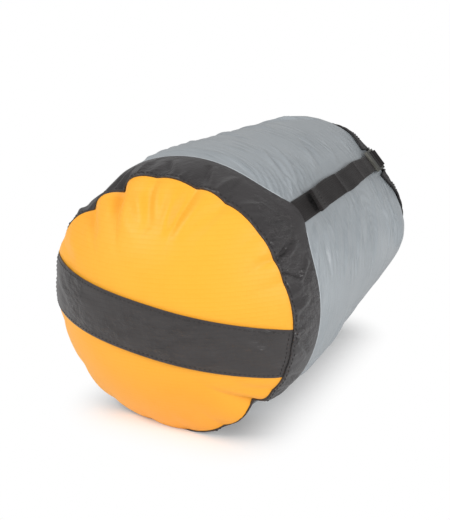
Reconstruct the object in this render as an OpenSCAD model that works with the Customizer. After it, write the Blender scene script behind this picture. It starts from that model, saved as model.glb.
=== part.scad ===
// Compression sack lying on its side: a filled fabric tube with a crowned base,
// a base handle, a roll-top mouth, and a lid drawn down by webbing straps in ladder locks.

/* [Sack] */
// Outside diameter where the base ring meets the tube
body_d = 230; // [190:1:270]
// Radius lost from the base ring to the lid end of the tube
end_inset = 9; // [0:0.5:16]
// Length of the tube from the base ring to the lid shoulder
tube_len = 239; // [180:1:320]
// How far the filled wall swells beyond a straight taper
belly = 2.5; // [0:0.25:5]
// Rounding of the shoulder at the lid end
shoulder_r = 14; // [10:0.5:20]
// Thickness of a sewn fabric wall
wall_t = 1.2; // [0.8:0.1:2]
// Depth of the flat that the filled sack settles on
floor_flat = 6; // [3:0.5:10]

/* [Base] */
// Length of the dark ring along the sack
ring_w = 45; // [25:1:70]
// Radius lost from the tube to the gathered base seam
seam_inset = 7; // [4:0.5:14]
// Height of the crowned base in front of its seam
crown_h = 46; // [20:1:60]
// Sharpness of the crown: 2 is round, more is flatter in the middle
crown_power = 2.4; // [2:0.1:4]

/* [Handle] */
// Width of the handle across the base
handle_w = 44; // [25:1:60]
// Thickness of the folded handle fabric
handle_t = 1.6; // [1:0.1:3]
// Slope of the handle, down towards +X, in degrees
handle_slope = 8; // [0:1:30]
// How far the handle's middle lies below the centre of the base
handle_drop = 4; // [0:1:12]

/* [Straps] */
// Width of the webbing
webbing_w = 20; // [15:1:25]
// Thickness of the webbing
webbing_t = 1.5; // [1:0.1:2]
// Length of a strap's free tail, from its ladder lock
tail_len = 187; // [60:1:200]
// Length of the folded hem at the end of a tail
hem_len = 15; // [8:1:25]
// Angle of the first strap from the top of the sack, towards +X, in degrees
first_strap = 49; // [40:1:50]

/* [Ladder lock] */
// Distance from the lock's hinge bar to the lid shoulder
lock_back = 4; // [2:0.5:10]
// Diameter of the hinge bar that the lid tab holds
hinge_bar_d = 4; // [3:0.1:5]
// Distance from the hinge bar to the middle bar
mid_bar_back = 9; // [8:0.5:12]
// Distance from the hinge bar to the middle of the lip
lip_back = 18; // [17:0.5:22]
// Thickness of the middle bar
mid_bar_t = 2; // [1.5:0.1:3]
// Width of the middle bar
mid_bar_w = 4; // [3:0.25:5]
// Width of the lip
lip_w = 6; // [4:0.5:7]
// Thickness of the lip
lip_t = 2.6; // [2:0.1:4]
// Width of a lock's side rail
rail_w = 2.5; // [2:0.25:5]

/* [Lid] */
// Radius lost from the tube's end to the lid's strap corners
lid_inset = 0; // [0:0.5:6]
// Room between the lid's straight sides and the shoulder under them
lid_ease = 0.8; // [0.4:0.1:4]
// Height of the binding round the lid's edge
binding_h = 8; // [5:0.5:12]
// Thickness of the binding
binding_t = 1.4; // [0.8:0.1:2]
// How far the lid's edge hangs past the mouth
lid_drop = 1; // [0:0.5:4]

/* [Closure] */
// Radius of the loop that the rolled mouth is bent into
roll_loop_r = 62; // [54:1:70]
// Width of the flattened roll
roll_w = 18; // [14:0.5:22]
// Height of the flattened roll
roll_h = 13; // [11:0.5:18]
// Width of the stiffener strip in the roll
stiffener_w = 11; // [6:0.5:12]
// Thickness of the stiffener strip
stiffener_t = 2; // [1:0.1:3]
// Half of the angle that the clip spans between the roll's ends
clip_half_angle = 40; // [38:1:48]
// Length of the clip's socket
socket_len = 28; // [22:1:32]
// Width of the clip
clip_w = 22; // [18:1:26]
// Thickness of the clip
clip_t = 9; // [7:0.5:10]
// Wall of the socket
socket_wall = 1.8; // [1.2:0.1:2.4]
// Length of the plug's body outside the socket
plug_body_len = 11; // [8:1:14]
// Width of the clip's webbing tabs
clip_tab_w = 15; // [10:1:18]

/* [Hidden] */
$fn = 96;

// Clearances between pieces
seat_gap = 0.3;       // a soft piece and what it lies on
handle_gap = 0.5;     // the handle and the crown, along the sack
pin_gap = 0.25;       // webbing round a bar, and plastic in plastic
layer_gap = 0.4;      // the turned webbing and the middle bar
rail_gap = 0.5;       // the webbing's edges and the lock's rails
lip_gap = 0.9;        // the tail and the lip above it
turn_gap = 1.6;       // webbing left straight past a turn
strap_gap = 0.5;      // a strap's end and its turn
tail_gap = 0.4;       // a tail's start and its turn
binding_gap = 0.1;    // the lid and its binding
tape_gap = 0.2;       // a seam tape and the ring's slope
edge_gap = 2;         // the handle's ends, and a tape's, and the seam beside them
cut_over = 1;         // how far a cut runs past the piece that it opens
seam_land = 0.6;      // width of the ring's sewn front edge
mouth_land = 0.5;     // width of the mouth's turned edge
tape_w = 20;          // width of the seam tapes
tape_t = 0.4;         // thickness of the seam tapes
tack_w = 2.5;         // width of a bar tack
tack_t = 0.6;         // height of a bar tack
tack_edge = 1;        // from the end of a bar tack to the webbing's edge
tube_steps = 12;      // straight pieces along the tube's outline
arc_steps = 6;        // straight pieces round the shoulder
ring_steps = 7;       // straight pieces across the ring
crown_steps = 12;     // straight pieces across the crown
lid_steps = 10;       // straight pieces across the lid
lid_power = 2.5;      // flatness of the lid's crown
strap_count = 4;
tack_len = webbing_w - 2 * tack_edge;

// Radii about the sack's axis and places s along it, from the base seam towards the lid
body_r = body_d / 2;
end_r = body_r - end_inset;
seam_r = body_r - seam_inset;
axis_h = body_r - floor_flat;
shoulder_s = ring_w + tube_len;
mouth_s = shoulder_s + shoulder_r;
mouth_r = end_r - shoulder_r + mouth_land;
lid_r = end_r - lid_inset;
lid_s = mouth_s - lid_drop;
lid_side = end_r - shoulder_r + shoulder_reach(lid_drop) + wall_t + lid_ease;
roll_out_r = roll_loop_r + roll_w / 2;
lid_rise = (roll_h + seat_gap + lid_drop) / lid_shape(roll_out_r / (lid_r - wall_t));
lid_top_s = lid_s + lid_rise + wall_t;
front_s = -(crown_h + handle_gap + handle_t);
middle_s = (front_s + lid_top_s) / 2;
far = 4 * (body_d + tube_len);

// Ladder lock, measured from its hinge bar: a along the sack towards the lid, n outwards
turn_back = mid_bar_back - mid_bar_w / 2 - layer_gap - webbing_t;
turn_front = mid_bar_back + mid_bar_w / 2 + layer_gap + webbing_t;
turn_end = turn_front + turn_gap;
turn_low = -(mid_bar_t / 2 + layer_gap + webbing_t);
turn_high = mid_bar_t / 2 + layer_gap + webbing_t;
exit_low = turn_low + webbing_t + seat_gap;
lip_low = exit_low + webbing_t + lip_gap;
lock_in = webbing_w / 2 + rail_gap;
lock_out = lock_in + rail_w;
lock_s = shoulder_s - lock_back;
lock_r = tube_r(lock_s - turn_end) + seat_gap - turn_low;
strap_end_s = lock_s - turn_end - strap_gap;
tail_start_s = strap_end_s - tail_gap;
tail_end_s = lock_s - tail_len;

// Clip, across the gap in the roll: x along the clip, z from the axis towards the top
clip_z = roll_loop_r * cos(clip_half_angle);
clip_s = mouth_s + seat_gap;
clip_x = 1;
socket_x = clip_x - socket_len;
plug_back_x = clip_x + plug_body_len;
socket_room = 7;      // from the prongs' tips to the socket's back
prong_len = socket_len - socket_room;
prong_w = 4;
window_back = 10;     // from the socket's back to the middle of its side windows
window_len = 8;
window_edge = 0.5;    // wall left above and below a window
clip_tab_t = 1.5;

function tube_u(s) = (s - ring_w) / tube_len;
function tube_r(s) = body_r - end_inset * tube_u(s) + 4 * belly * tube_u(s) * (1 - tube_u(s));
function crown_s(q) = -crown_h * (1 - pow(q, crown_power));
function lid_shape(q) = sqrt(1 - pow(min(q, 1), lid_power));
function shoulder_reach(drop) = sqrt(2 * shoulder_r * drop - drop * drop);
function strap_angle(k) = first_strap + 360 / strap_count * (k - 1);

// Outline of the tube and its shoulder, set in from the outside
function tube_line(inset) = concat(
    [for (i = [0:tube_steps]) let (s = ring_w + tube_len * i / tube_steps) [tube_r(s) - inset, s]],
    [for (i = [1:arc_steps]) let (a = 90 - 90 * i / arc_steps)
        [end_r - shoulder_r + (shoulder_r - inset) * sin(a), shoulder_s + (shoulder_r - inset) * cos(a)]]);

// Outline of the ring from the seam to the tube, set in from the outside
function ring_line(inset) = [for (i = [0:ring_steps])
    let (v = i / ring_steps, low = seam_r + (inset > 0 ? 0 : seam_land))
    [low + (body_r - inset - low) * sqrt(1 - (1 - v) * (1 - v)), inset + (ring_w - inset) * v]];

// Outline of the crown, moved along the axis
function crown_line(shift) = [for (i = [0:crown_steps]) let (q = sin(90 * i / crown_steps))
    [seam_r * q, crown_s(q) + shift]];

// Outline of the lid's crown, set in from the outside
function lid_line(inset) = [for (i = [0:lid_steps]) let (q = cos(90 * i / lid_steps))
    [(lid_r - inset) * q, lid_s + (lid_rise + wall_t - inset) * lid_shape(q)]];

// A webbing layer over the tube, from one place to another, with its inner face lifted off the wall
function layer(from_s, to_s, lift, thick) = let (n = tube_steps, ds = (to_s - from_s) / n) concat(
    [for (i = [0:n]) [tube_r(from_s + ds * i) + lift, from_s + ds * i]],
    [for (i = [n:-1:0]) [tube_r(from_s + ds * i) + lift + thick, from_s + ds * i]]);

// Puts a sack that is drawn along +Z, with its top towards -Y, on the floor with its base at the front
module lying() translate([0, -middle_s, axis_h]) rotate([-90, 0, 0]) children();

// Draws in the plane of a strap: x is the radius, y the place along the sack, z across the webbing
module at_strap(k) lying() rotate([0, 0, strap_angle(k) - 90]) rotate([90, 0, 0]) children();

module band(width) linear_extrude(height = width, center = true) children();

module above_floor(lift) translate([-far / 2, axis_h - lift - far, -far / 2]) cube(far);

// A wall between two outlines of revolution, with a flat where the sack rests
module wall(outside, inside) difference() {
    intersection() {
        rotate_extrude() polygon(outside);
        above_floor(0);
    }
    intersection() {
        rotate_extrude() polygon(inside);
        above_floor(wall_t);
    }
}

module base_panel() color("orange") lying() intersection() {
    rotate_extrude() polygon(concat(crown_line(0), [for (i = [crown_steps:-1:0]) crown_line(wall_t)[i]]));
    above_floor(0);
}

module base_ring() color("#47464a") lying() wall(
    concat([[0, 0]], ring_line(0), [[0, ring_w]]),
    concat([[0, -cut_over], [seam_r, -cut_over]], ring_line(wall_t),
           [[body_r - wall_t, ring_w + cut_over], [0, ring_w + cut_over]]));

module sack_tube() color("#98a0a6") lying() wall(
    concat([[0, ring_w]], tube_line(0), [[0, mouth_s]]),
    concat([[0, ring_w - cut_over], [body_r - wall_t, ring_w - cut_over]],
           [for (p = tube_line(wall_t)) if (p[0] > mouth_r) p],
           [[mouth_r, mouth_s - wall_t], [mouth_r, mouth_s + cut_over], [0, mouth_s + cut_over]]));

// Tape inside the seam between ring and tube, left open over the floor flat
module ring_seam_tape() color("#c9ccd0") lying() intersection() {
    tape_r = body_r - wall_t - seat_gap;
    translate([0, 0, ring_w - tape_w / 2]) difference() {
        cylinder(h = tape_w, r = tape_r - tape_slope());
        translate([0, 0, -cut_over])
            cylinder(h = tape_w + 2 * cut_over, r = tape_r - tape_slope() - tape_t);
    }
    above_floor(wall_t + seat_gap);
}

// How far the ring's inside draws in under the seam tape
function tape_slope() = let (v = max(0, 1 - tape_w / 2 / ring_w))
    (body_r - seam_r) * (1 - sqrt(1 - (1 - v) * (1 - v))) + tape_gap;

// Tape inside the tube's lengthways seam, on the side away from the first strap
module side_seam_tape() color("#c9ccd0") lying() rotate([0, 0, 180]) rotate([90, 0, 0]) band(tape_w)
    polygon(layer(tape_end_s, shoulder_s - 2 * edge_gap, inner_lift(tape_w, tape_t), tape_t));

// Place just past the ring's seam tape
tape_end_s = ring_w + tape_w / 2 + edge_gap;

// Lift of a flat layer whose edges lie on the inside of the round wall
function inner_lift(width, thick) =
    sqrt(body_r * body_r - width * width / 4) - body_r - wall_t - seat_gap - thick;

module strap(k) color("#2b2a2c") at_strap(k) band(webbing_w)
    polygon(layer(ring_w, strap_end_s, seat_gap, webbing_t));

// Rows of stitches that hold the straps to the wall, as they come out on its inside
module strap_tacks() color("#1d1c1e") for (k = [1:strap_count], i = [0, 1])
    let (from_s = tape_end_s + 3 * tack_w * i)
    at_strap(k) band(tack_len)
        polygon(layer(from_s, from_s + tack_w, inner_lift(tack_len, tack_t), tack_t));

// The strip of a crowned layer that lies under the handle
module handle_strip(shift, thick, from_x, to_x) lying() intersection() {
    rotate_extrude() polygon(concat(crown_line(shift - thick),
                                    [for (i = [crown_steps:-1:0]) crown_line(shift)[i]]));
    rotate([0, 0, handle_slope]) translate([from_x, handle_drop - handle_w / 2, -far / 2])
        cube([to_x - from_x, handle_w, far]);
}

module base_handle() color("#3a393d") handle_strip(
    -handle_gap, handle_t, edge_gap - seam_r, seam_r - edge_gap);

// Rows of stitches at the two ends of the handle
module handle_tacks() color("#1d1c1e") for (side = [-1, 1]) {
    tack_mid = side * (handle_end() - 1.7 * tack_w);
    handle_strip(-handle_gap - handle_t, tack_t, tack_mid - tack_w / 2, tack_mid + tack_w / 2);
}

// Half length of the handle along its lower edge
function handle_end() = let (edge = handle_drop + handle_w / 2)
    sqrt(seam_r * seam_r - edge * edge) - edge_gap;

module mouth_collar() color("#8d959b") lying()
    translate([0, 0, mouth_s - wall_t]) cylinder(h = wall_t, r = mouth_r - seat_gap);

// A flat bar with round edges, seen end on
module flat_bar(width, height) {
    square([width - height, height], center = true);
    for (side = [-1, 1]) translate([side * (width - height) / 2, 0]) circle(d = height);
}

// Bends a cross section into the loop of the rolled mouth, open at the top for the clip
module roll_loop() lying() translate([0, 0, mouth_s + roll_h / 2])
    rotate([0, 0, clip_half_angle - 90]) rotate_extrude(angle = 360 - 2 * clip_half_angle)
        translate([roll_loop_r, 0]) children();

module closure_roll() color("#8d959b") roll_loop() difference() {
    flat_bar(roll_w, roll_h);
    square([stiffener_w + 2 * pin_gap, stiffener_t + 2 * pin_gap], center = true);
}

module roll_stiffener() color("#2b2a2c") roll_loop() square([stiffener_w, stiffener_t], center = true);

// Draws over the mouth: x to the right, y up from the axis, z along the sack
module over_mouth() lying() translate([0, 0, clip_s]) mirror([0, 1, 0]) children();

module clip_block(from_x, to_x, width, low, high)
    translate([from_x, clip_z - width / 2, low]) cube([to_x - from_x, width, high - low]);

module clip_socket() color("#2b2b2d") over_mouth() difference() {
    clip_block(socket_x, clip_x, clip_w, 0, clip_t);
    clip_block(socket_x + socket_wall, clip_x + cut_over, clip_w - 2 * socket_wall,
               socket_wall, clip_t - socket_wall);
    for (side = [-1, 1]) translate([socket_x + window_back, clip_z + side * clip_w / 2, clip_t / 2])
        cube([window_len, 2 * (socket_wall + cut_over), clip_t - 2 * (socket_wall + window_edge)],
             center = true);
}

module clip_plug() color("#2b2b2d") over_mouth() {
    low = socket_wall + pin_gap;
    high = clip_t - socket_wall - pin_gap;
    reach = clip_x + pin_gap - prong_len;
    prong_off = clip_w / 2 - socket_wall - pin_gap - prong_w / 2;
    clip_block(clip_x + pin_gap, plug_back_x, clip_w, 0, clip_t);
    for (side = [-1, 1])
        translate([reach, clip_z + side * prong_off - prong_w / 2, low])
            cube([prong_len + cut_over, prong_w, high - low]);
    clip_block(reach, plug_back_x, prong_w, low, high);
}

// A webbing tab from the clip to the slanting end of the roll
module clip_tab(near_x, side) over_mouth() {
    slant = tan(clip_half_angle);
    low = clip_z - clip_tab_w / 2;
    high = clip_z + clip_tab_w / 2;
    end_gap = seat_gap / cos(clip_half_angle);
    translate([0, 0, clip_t / 2 - clip_tab_t / 2]) linear_extrude(height = clip_tab_t)
        polygon([[near_x, low], [side * (low * slant - end_gap), low],
                 [side * (high * slant - end_gap), high], [near_x, high]]);
}

module socket_tab() color("#2b2a2c") clip_tab(socket_x - seat_gap, -1);

module plug_tab() color("#2b2a2c") clip_tab(plug_back_x + seat_gap, 1);

// A square drawn across the sack whose corners point at the straps
module strap_square(half, height) rotate([0, 0, first_strap - 45])
    translate([-half, -half, -height]) cube([2 * half, 2 * half, 2 * height]);

module lid_panel() color("#333236") lying() difference() {
    intersection() {
        rotate_extrude() polygon(concat([[0, lid_s]], lid_line(0)));
        strap_square(lid_side, far);
    }
    intersection() {
        rotate_extrude() polygon(concat([[0, lid_s - cut_over], [lid_r - wall_t, lid_s - cut_over]],
                                        lid_line(wall_t)));
        strap_square(lid_side - wall_t, far);
    }
}

module lid_edge(grow, from_s, height) intersection() {
    translate([0, 0, from_s]) cylinder(h = height, r = lid_r + grow);
    strap_square(lid_side + grow, far);
}

module lid_binding() color("#262528") lying() difference() {
    lid_edge(binding_gap + binding_t, lid_s, binding_h);
    lid_edge(binding_gap, lid_s - cut_over, binding_h + 2 * cut_over);
}

// Radius of the binding's outside at a strap, where the lock tabs are sewn
sewn_r = lid_r + binding_gap + binding_t + seat_gap;

// The loop of webbing that ties a ladder lock to the lid's binding
module lock_tab(k) {
    hole_r = hinge_bar_d / 2 + pin_gap;
    loop_r = hole_r + webbing_t;
    top_r = sewn_r + 2 * webbing_t;
    color("#2b2a2c") at_strap(k) band(webbing_w) difference() {
        union() {
            translate([lock_r, lock_s]) circle(r = loop_r);
            polygon([[lock_r + loop_r, lock_s], [top_r, lid_s], [top_r, lid_s + binding_h],
                     [sewn_r, lid_s + binding_h], [sewn_r, lid_s],
                     [lock_r - hole_r + webbing_t / 3, lock_s + loop_r * 0.8]]);
        }
        translate([lock_r, lock_s]) circle(r = hole_r);
    }
}

// Rows of stitches that close the lock tabs on the binding
module tab_tacks() color("#1d1c1e") for (k = [1:strap_count]) at_strap(k) band(tack_len)
    translate([sewn_r + 2 * webbing_t, lid_s + binding_h / 2 - tack_w / 2])
        square([tack_t, tack_w]);

// A ladder lock: a round hinge bar, two side rails, a middle bar and a raised lip
module ladder_lock(k) color("#3b3a3a") at_strap(k) translate([lock_r, lock_s]) {
    cylinder(h = 2 * lock_out, d = hinge_bar_d, center = true);
    for (side = [-1, 1]) translate([0, 0, side * (lock_in + rail_w / 2)]) band(rail_w)
        polygon([[-mid_bar_t / 2, hinge_bar_d / 2], [mid_bar_t / 2, hinge_bar_d / 2],
                 [lip_low + lip_t, -lip_back + lip_w / 2], [lip_low + lip_t, -lip_back - lip_w / 2],
                 [lip_low, -lip_back - lip_w / 2], [-mid_bar_t / 2, -mid_bar_back - mid_bar_w / 2]]);
    translate([-mid_bar_t / 2, -mid_bar_back - mid_bar_w / 2, -lock_out])
        cube([mid_bar_t, mid_bar_w, 2 * lock_out]);
    translate([lip_low, -lip_back - lip_w / 2, -lock_out])
        cube([lip_t, lip_w, 2 * lock_out]);
}

// The webbing's turn round the middle bar, from the strap below to the tail above it
module strap_turn(k) color("#2b2a2c") at_strap(k) translate([lock_r, lock_s]) band(webbing_w) {
    translate([turn_low, -turn_end]) square([webbing_t, turn_end - turn_back]);
    translate([turn_low, -turn_back - webbing_t]) square([turn_high - turn_low, webbing_t]);
    translate([turn_high - webbing_t, -turn_front]) square([webbing_t, turn_front - turn_back]);
    translate([exit_low, -turn_front]) square([turn_high - exit_low, webbing_t]);
    translate([exit_low, -turn_end - strap_gap])
        square([webbing_t, turn_end + strap_gap - turn_front + webbing_t]);
}

// A strap's free tail, lying back over the strap, with a folded hem at its end
module strap_tail(k) color("#2b2a2c") at_strap(k) band(webbing_w) {
    lift = 2 * seat_gap + webbing_t;
    polygon(layer(tail_end_s, tail_start_s, lift, webbing_t));
    polygon(layer(tail_end_s, tail_end_s + hem_len, lift, 2 * webbing_t));
}

base_panel();
base_ring();
sack_tube();
ring_seam_tape();
side_seam_tape();
strap_tacks();
base_handle();
handle_tacks();
mouth_collar();
closure_roll();
roll_stiffener();
clip_socket();
socket_tab();
plug_tab();
clip_plug();
lid_panel();
lid_binding();
tab_tacks();
strap(1);  // strap_1
strap(2);  // strap_2
strap(3);  // strap_3
strap(4);  // strap_4
lock_tab(1);  // lock_tab_1
lock_tab(2);  // lock_tab_2
lock_tab(3);  // lock_tab_3
lock_tab(4);  // lock_tab_4
ladder_lock(1);  // ladder_lock_1
ladder_lock(2);  // ladder_lock_2
ladder_lock(3);  // ladder_lock_3
ladder_lock(4);  // ladder_lock_4
strap_turn(1);  // strap_turn_1
strap_turn(2);  // strap_turn_2
strap_turn(3);  // strap_turn_3
strap_turn(4);  // strap_turn_4
strap_tail(1);  // strap_tail_1
strap_tail(2);  // strap_tail_2
strap_tail(3);  // strap_tail_3
strap_tail(4);  // strap_tail_4
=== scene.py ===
"""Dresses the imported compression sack: gathered cloth, webbing, locks, roll-top mouth, floor and light.

Places on the sack are given as an angle from its top towards +X in degrees, a radius from its axis and a
distance s along the axis from the base seam towards the lid, both in millimetres. Meshes are in metres.
"""
import logging
import math
from dataclasses import dataclass, field
from enum import Enum

import bpy
import numpy as np
from mathutils import Matrix, Vector


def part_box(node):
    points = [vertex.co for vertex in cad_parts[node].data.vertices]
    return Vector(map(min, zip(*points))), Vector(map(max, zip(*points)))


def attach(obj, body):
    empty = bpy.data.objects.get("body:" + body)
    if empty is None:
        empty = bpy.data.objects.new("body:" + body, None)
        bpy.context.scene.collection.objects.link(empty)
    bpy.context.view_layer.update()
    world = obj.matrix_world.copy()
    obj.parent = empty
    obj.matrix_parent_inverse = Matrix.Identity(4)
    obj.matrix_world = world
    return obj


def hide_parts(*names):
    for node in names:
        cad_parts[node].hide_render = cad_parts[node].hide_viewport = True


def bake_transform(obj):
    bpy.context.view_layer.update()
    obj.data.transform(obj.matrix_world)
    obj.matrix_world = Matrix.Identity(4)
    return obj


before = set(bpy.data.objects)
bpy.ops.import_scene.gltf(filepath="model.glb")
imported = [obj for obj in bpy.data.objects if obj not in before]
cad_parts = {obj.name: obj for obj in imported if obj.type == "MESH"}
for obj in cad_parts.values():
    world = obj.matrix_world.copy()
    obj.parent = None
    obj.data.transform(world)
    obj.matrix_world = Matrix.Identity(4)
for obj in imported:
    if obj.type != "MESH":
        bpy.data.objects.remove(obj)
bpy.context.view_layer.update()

log = logging.getLogger("sack")
MM = 0.001
IMAGE_LONG_SIDE = 520
STRAPS = (1, 2, 3, 4)
# Where the rows of a round sheet start, beside its middle.
POLE = 0.02
Array = np.ndarray
Colour = tuple[float, float, float]
Point = tuple[float, float, float]
Span = tuple[float, float]
Rows = tuple[tuple[float, ...], ...]
Faces = list[tuple[int, ...]]
Piece = bpy.types.Object
Material = bpy.types.Material


class Slot(str, Enum):
    """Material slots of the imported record."""

    BASE = "base_fabric"
    DARK = "dark_fabric"
    BODY = "body_fabric"
    LID = "lid_fabric"
    WEBBING = "webbing"
    TAPE = "seam_tape"
    THREAD = "thread"
    LOCK = "lock_plastic"
    CLIP = "black_plastic"


class Lay(Enum):
    """How the threads of a cloth run on the sack."""

    FLAT = "across the base"
    ROUND = "round the tube"


class Stitch(Enum):
    """Kinds of stitching: length of a stitch, cloth between two and radius of the thread, in millimetres."""

    PLAIN = (2.8, 1.1, 0.38)
    FINE = (2.4, 1.4, 0.28)
    CROSS = (2.2, 0.8, 0.3)
    TACK = (1.6, 0.3, 0.32)


def linear(colour: Colour) -> tuple[float, ...]:
    """Linear red, green, blue and alpha of a colour written as 0 to 255."""
    parts = [c / 255 for c in colour]
    return (*[p / 12.92 if p <= 0.04045 else ((p + 0.055) / 1.055) ** 2.4 for p in parts], 1.0)


def smooth(value: Array, low: Array | float, high: Array | float) -> Array:
    """Smooth step from 0 at low to 1 at high."""
    t = np.clip((np.asarray(value, float) - low) / (high - low), 0, 1)
    return t * t * (3 - 2 * t)


def hump(off: Array, width: Array | float, power: float = 2) -> Array:
    """Bell of height 1 about 0, flatter on top with a higher power."""
    return np.exp(-((np.asarray(off, float) / width) ** power))


def turn_from(angle: Array, middle: Array | float) -> Array:
    """Angle counted from another one, from -180 to 180."""
    return (np.asarray(angle, float) - middle + 180) % 360 - 180


def round_angles(count: int) -> Array:
    """Evenly spaced angles all round, in a row."""
    return np.linspace(0, 360, count, endpoint=False)[None, :]


def unit(vectors: Array, guard: float = 0.0) -> Array:
    """Vectors at a length of 1."""
    return vectors / (np.linalg.norm(vectors, axis=-1, keepdims=True) + guard)


def run_along(line: Array) -> Array:
    """Distance of each point of a line from its start."""
    return np.concatenate([[0], np.cumsum(np.linalg.norm(np.diff(line, axis=0), axis=1))])


def add_object(name: str, data: bpy.types.ID, place: Point = (0, 0, 0), look: Vector | None = None) -> Piece:
    """Adds an object to the scene.

    Args:
        name: Its name.
        data: Its mesh, lamp or camera.
        place: Where it stands.
        look: Direction in which a lamp or camera looks.

    Returns:
        The object.
    """
    made = bpy.data.objects.new(name, data)
    made.location = place
    if look is not None:
        made.rotation_mode = "QUATERNION"
        made.rotation_quaternion = look.to_track_quat("-Z", "Y")
    bpy.context.scene.collection.objects.link(made)
    return made


def shade(mesh: bpy.types.Mesh, degrees: float) -> None:
    """Shades a mesh smooth, apart from edges sharper than an angle."""
    mesh.polygons.foreach_set("use_smooth", [True] * len(mesh.polygons))
    mesh.set_sharp_from_angle(angle=math.radians(degrees))


@dataclass(frozen=True)
class Swell:
    """A broad hump or hollow of the wall."""

    angle: float
    width: float
    height: float
    rise: Span
    fall: Span = (400.0, 401.0)

    def lift(self, angle: Array, s: Array) -> Array:
        """Millimetres out of the wall at each place."""
        window = smooth(s, *self.rise) * (1 - smooth(s, *self.fall))
        return self.height * window * hump(turn_from(angle, self.angle), self.width)


@dataclass(frozen=True)
class SackLayout:
    """Sizes of the filled sack, and the way from its places to the row frame."""

    body_r: float = 115.0
    end_inset: float = 9.0
    tube_len: float = 239.0
    belly: float = 2.5
    shoulder_r: float = 14.0
    ring_w: float = 45.0
    axis_h: float = 109.0
    handle_front: float = 48.1
    first_strap: float = 49.0
    corner_pull: float = 16.5
    corner_width: float = 12.5
    fullness: float = 2.0
    full_off: Span = (6, 14)
    full_rise: Span = (50, 66)
    full_fall: Span = (95, 150)
    floor_gap: float = 0.3
    swells: tuple[Swell, ...] = (
        Swell(90, 18, 6.5, (140, 284)), Swell(49, 22, -2.5, (190, 284)), Swell(139, 9, -8.0, (-60, -10)),
        Swell(132, 17, -5.5, (45, 230)), Swell(150, 20, -3.0, (-60, -10), (60, 140)),
        Swell(319, 9, -8.5, (32, 85)), Swell(338, 16, 1.0, (48, 66), (90, 140)),
        Swell(336, 16, -3.0, (140, 245)), Swell(270, 28, 4.0, (140, 284)))
    middle_s: float = field(
        default_factory=lambda: -SackLayout.handle_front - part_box("base_handle")[0].y / MM)

    @property
    def shoulder_s(self) -> float:
        """Where the tube turns in at the lid."""
        return self.ring_w + self.tube_len

    @property
    def mouth_s(self) -> float:
        """Where the mouth's edge lies."""
        return self.shoulder_s + self.shoulder_r

    def strap_angle(self, number: int) -> float:
        """Angle of a strap, counted from 1."""
        return self.first_strap + 90 * (number - 1)

    def from_strap(self, angle: Array) -> Array:
        """Angle from the nearest strap, from -45 to 45."""
        return (np.asarray(angle, float) - self.first_strap + 45) % 90 - 45

    def ring_edge(self, angle: Array) -> Array:
        """Where the dark ring ends: it is drawn out to a corner at each strap."""
        return self.ring_w + self.corner_pull * hump(self.from_strap(angle), self.corner_width)

    def swell_at(self, angle: Array, s: Array) -> Array:
        """How far the wall swells between the straps and is drawn in under them."""
        return sum(swell.lift(angle, s) for swell in self.swells)

    def wall_r(self, angle: Array, s: Array) -> Array:
        """Radius of the wall without its folds.

        Args:
            angle: Angles from the top.
            s: Places along the axis.

        Returns:
            The radius, drawn in by the straps and full between them.
        """
        u = (np.asarray(s, float) - self.ring_w) / self.tube_len
        plain = self.body_r - self.end_inset * u + 4 * self.belly * u * (1 - u)
        full = smooth(np.abs(self.from_strap(angle)), *self.full_off) * smooth(s, *self.full_rise)
        return plain + self.fullness * full * (1 - smooth(s, *self.full_fall)) + self.swell_at(angle, s)

    def y(self, s: Array) -> Array:
        """Row frame Y of a place along the axis."""
        return (np.asarray(s, float) - self.middle_s) * MM

    def point(self, angle: Array, radius: Array, s: Array) -> Array:
        """Places on the sack as points in the row frame, kept above the floor.

        Args:
            angle: Angles from the top.
            radius: Radii from the axis.
            s: Places along the axis.

        Returns:
            Points in metres, with one more dimension than the places.
        """
        turn = np.radians(np.asarray(angle, float))
        x = radius * np.sin(turn) * MM
        z = np.maximum((self.axis_h + radius * np.cos(turn)) * MM, self.floor_gap * MM)
        return np.stack(np.broadcast_arrays(x, self.y(s), z), axis=-1)

    def outward(self, angle: Array) -> Array:
        """Direction away from the axis."""
        turn = np.radians(np.asarray(angle, float))
        return np.stack([np.sin(turn), np.zeros_like(turn), np.cos(turn)], axis=-1)

    def sideways(self, angle: float) -> Array:
        """Direction across a strap."""
        return np.array([math.cos(math.radians(angle)), 0.0, -math.sin(math.radians(angle))])


LAYOUT = SackLayout()


@dataclass(eq=False)
class Socket:
    """A shader value that takes part in Python expressions."""

    shader: "Shader"
    link: bpy.types.NodeSocket

    def __add__(self, other: "Socket | float") -> "Socket":
        """Sum."""
        return self.shader.math("ADD", self, other)

    __radd__ = __add__

    def __sub__(self, other: "Socket | float") -> "Socket":
        """Difference."""
        return self.shader.math("SUBTRACT", self, other)

    def __rsub__(self, other: float) -> "Socket":
        """Difference from a number."""
        return self.shader.math("SUBTRACT", other, self)

    def __mul__(self, other: "Socket | float") -> "Socket":
        """Product."""
        return self.shader.math("MULTIPLY", self, other)

    __rmul__ = __mul__

    def __truediv__(self, other: "Socket | float") -> "Socket":
        """Quotient."""
        return self.shader.math("DIVIDE", self, other)

    def __abs__(self) -> "Socket":
        """Size without its sign."""
        return self.shader.math("ABSOLUTE", self)

    def sine(self) -> "Socket":
        """Sine of the value in radians."""
        return self.shader.math("SINE", self)

    def fraction(self) -> "Socket":
        """What is left above the whole number."""
        return self.shader.math("FRACT", self)

    def over(self, floor: float) -> "Socket":
        """The value less a floor, and 0 below it."""
        return self.shader.math("MAXIMUM", self - floor, 0.0)

    def step(self, low: float, high: float) -> "Socket":
        """Smooth step from 0 at low to 1 at high."""
        settings = {"interpolation_type": "SMOOTHSTEP"}
        return self.shader.node("ShaderNodeMapRange", settings, {0: self, 1: low, 2: high, 3: 0.0, 4: 1.0})


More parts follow.
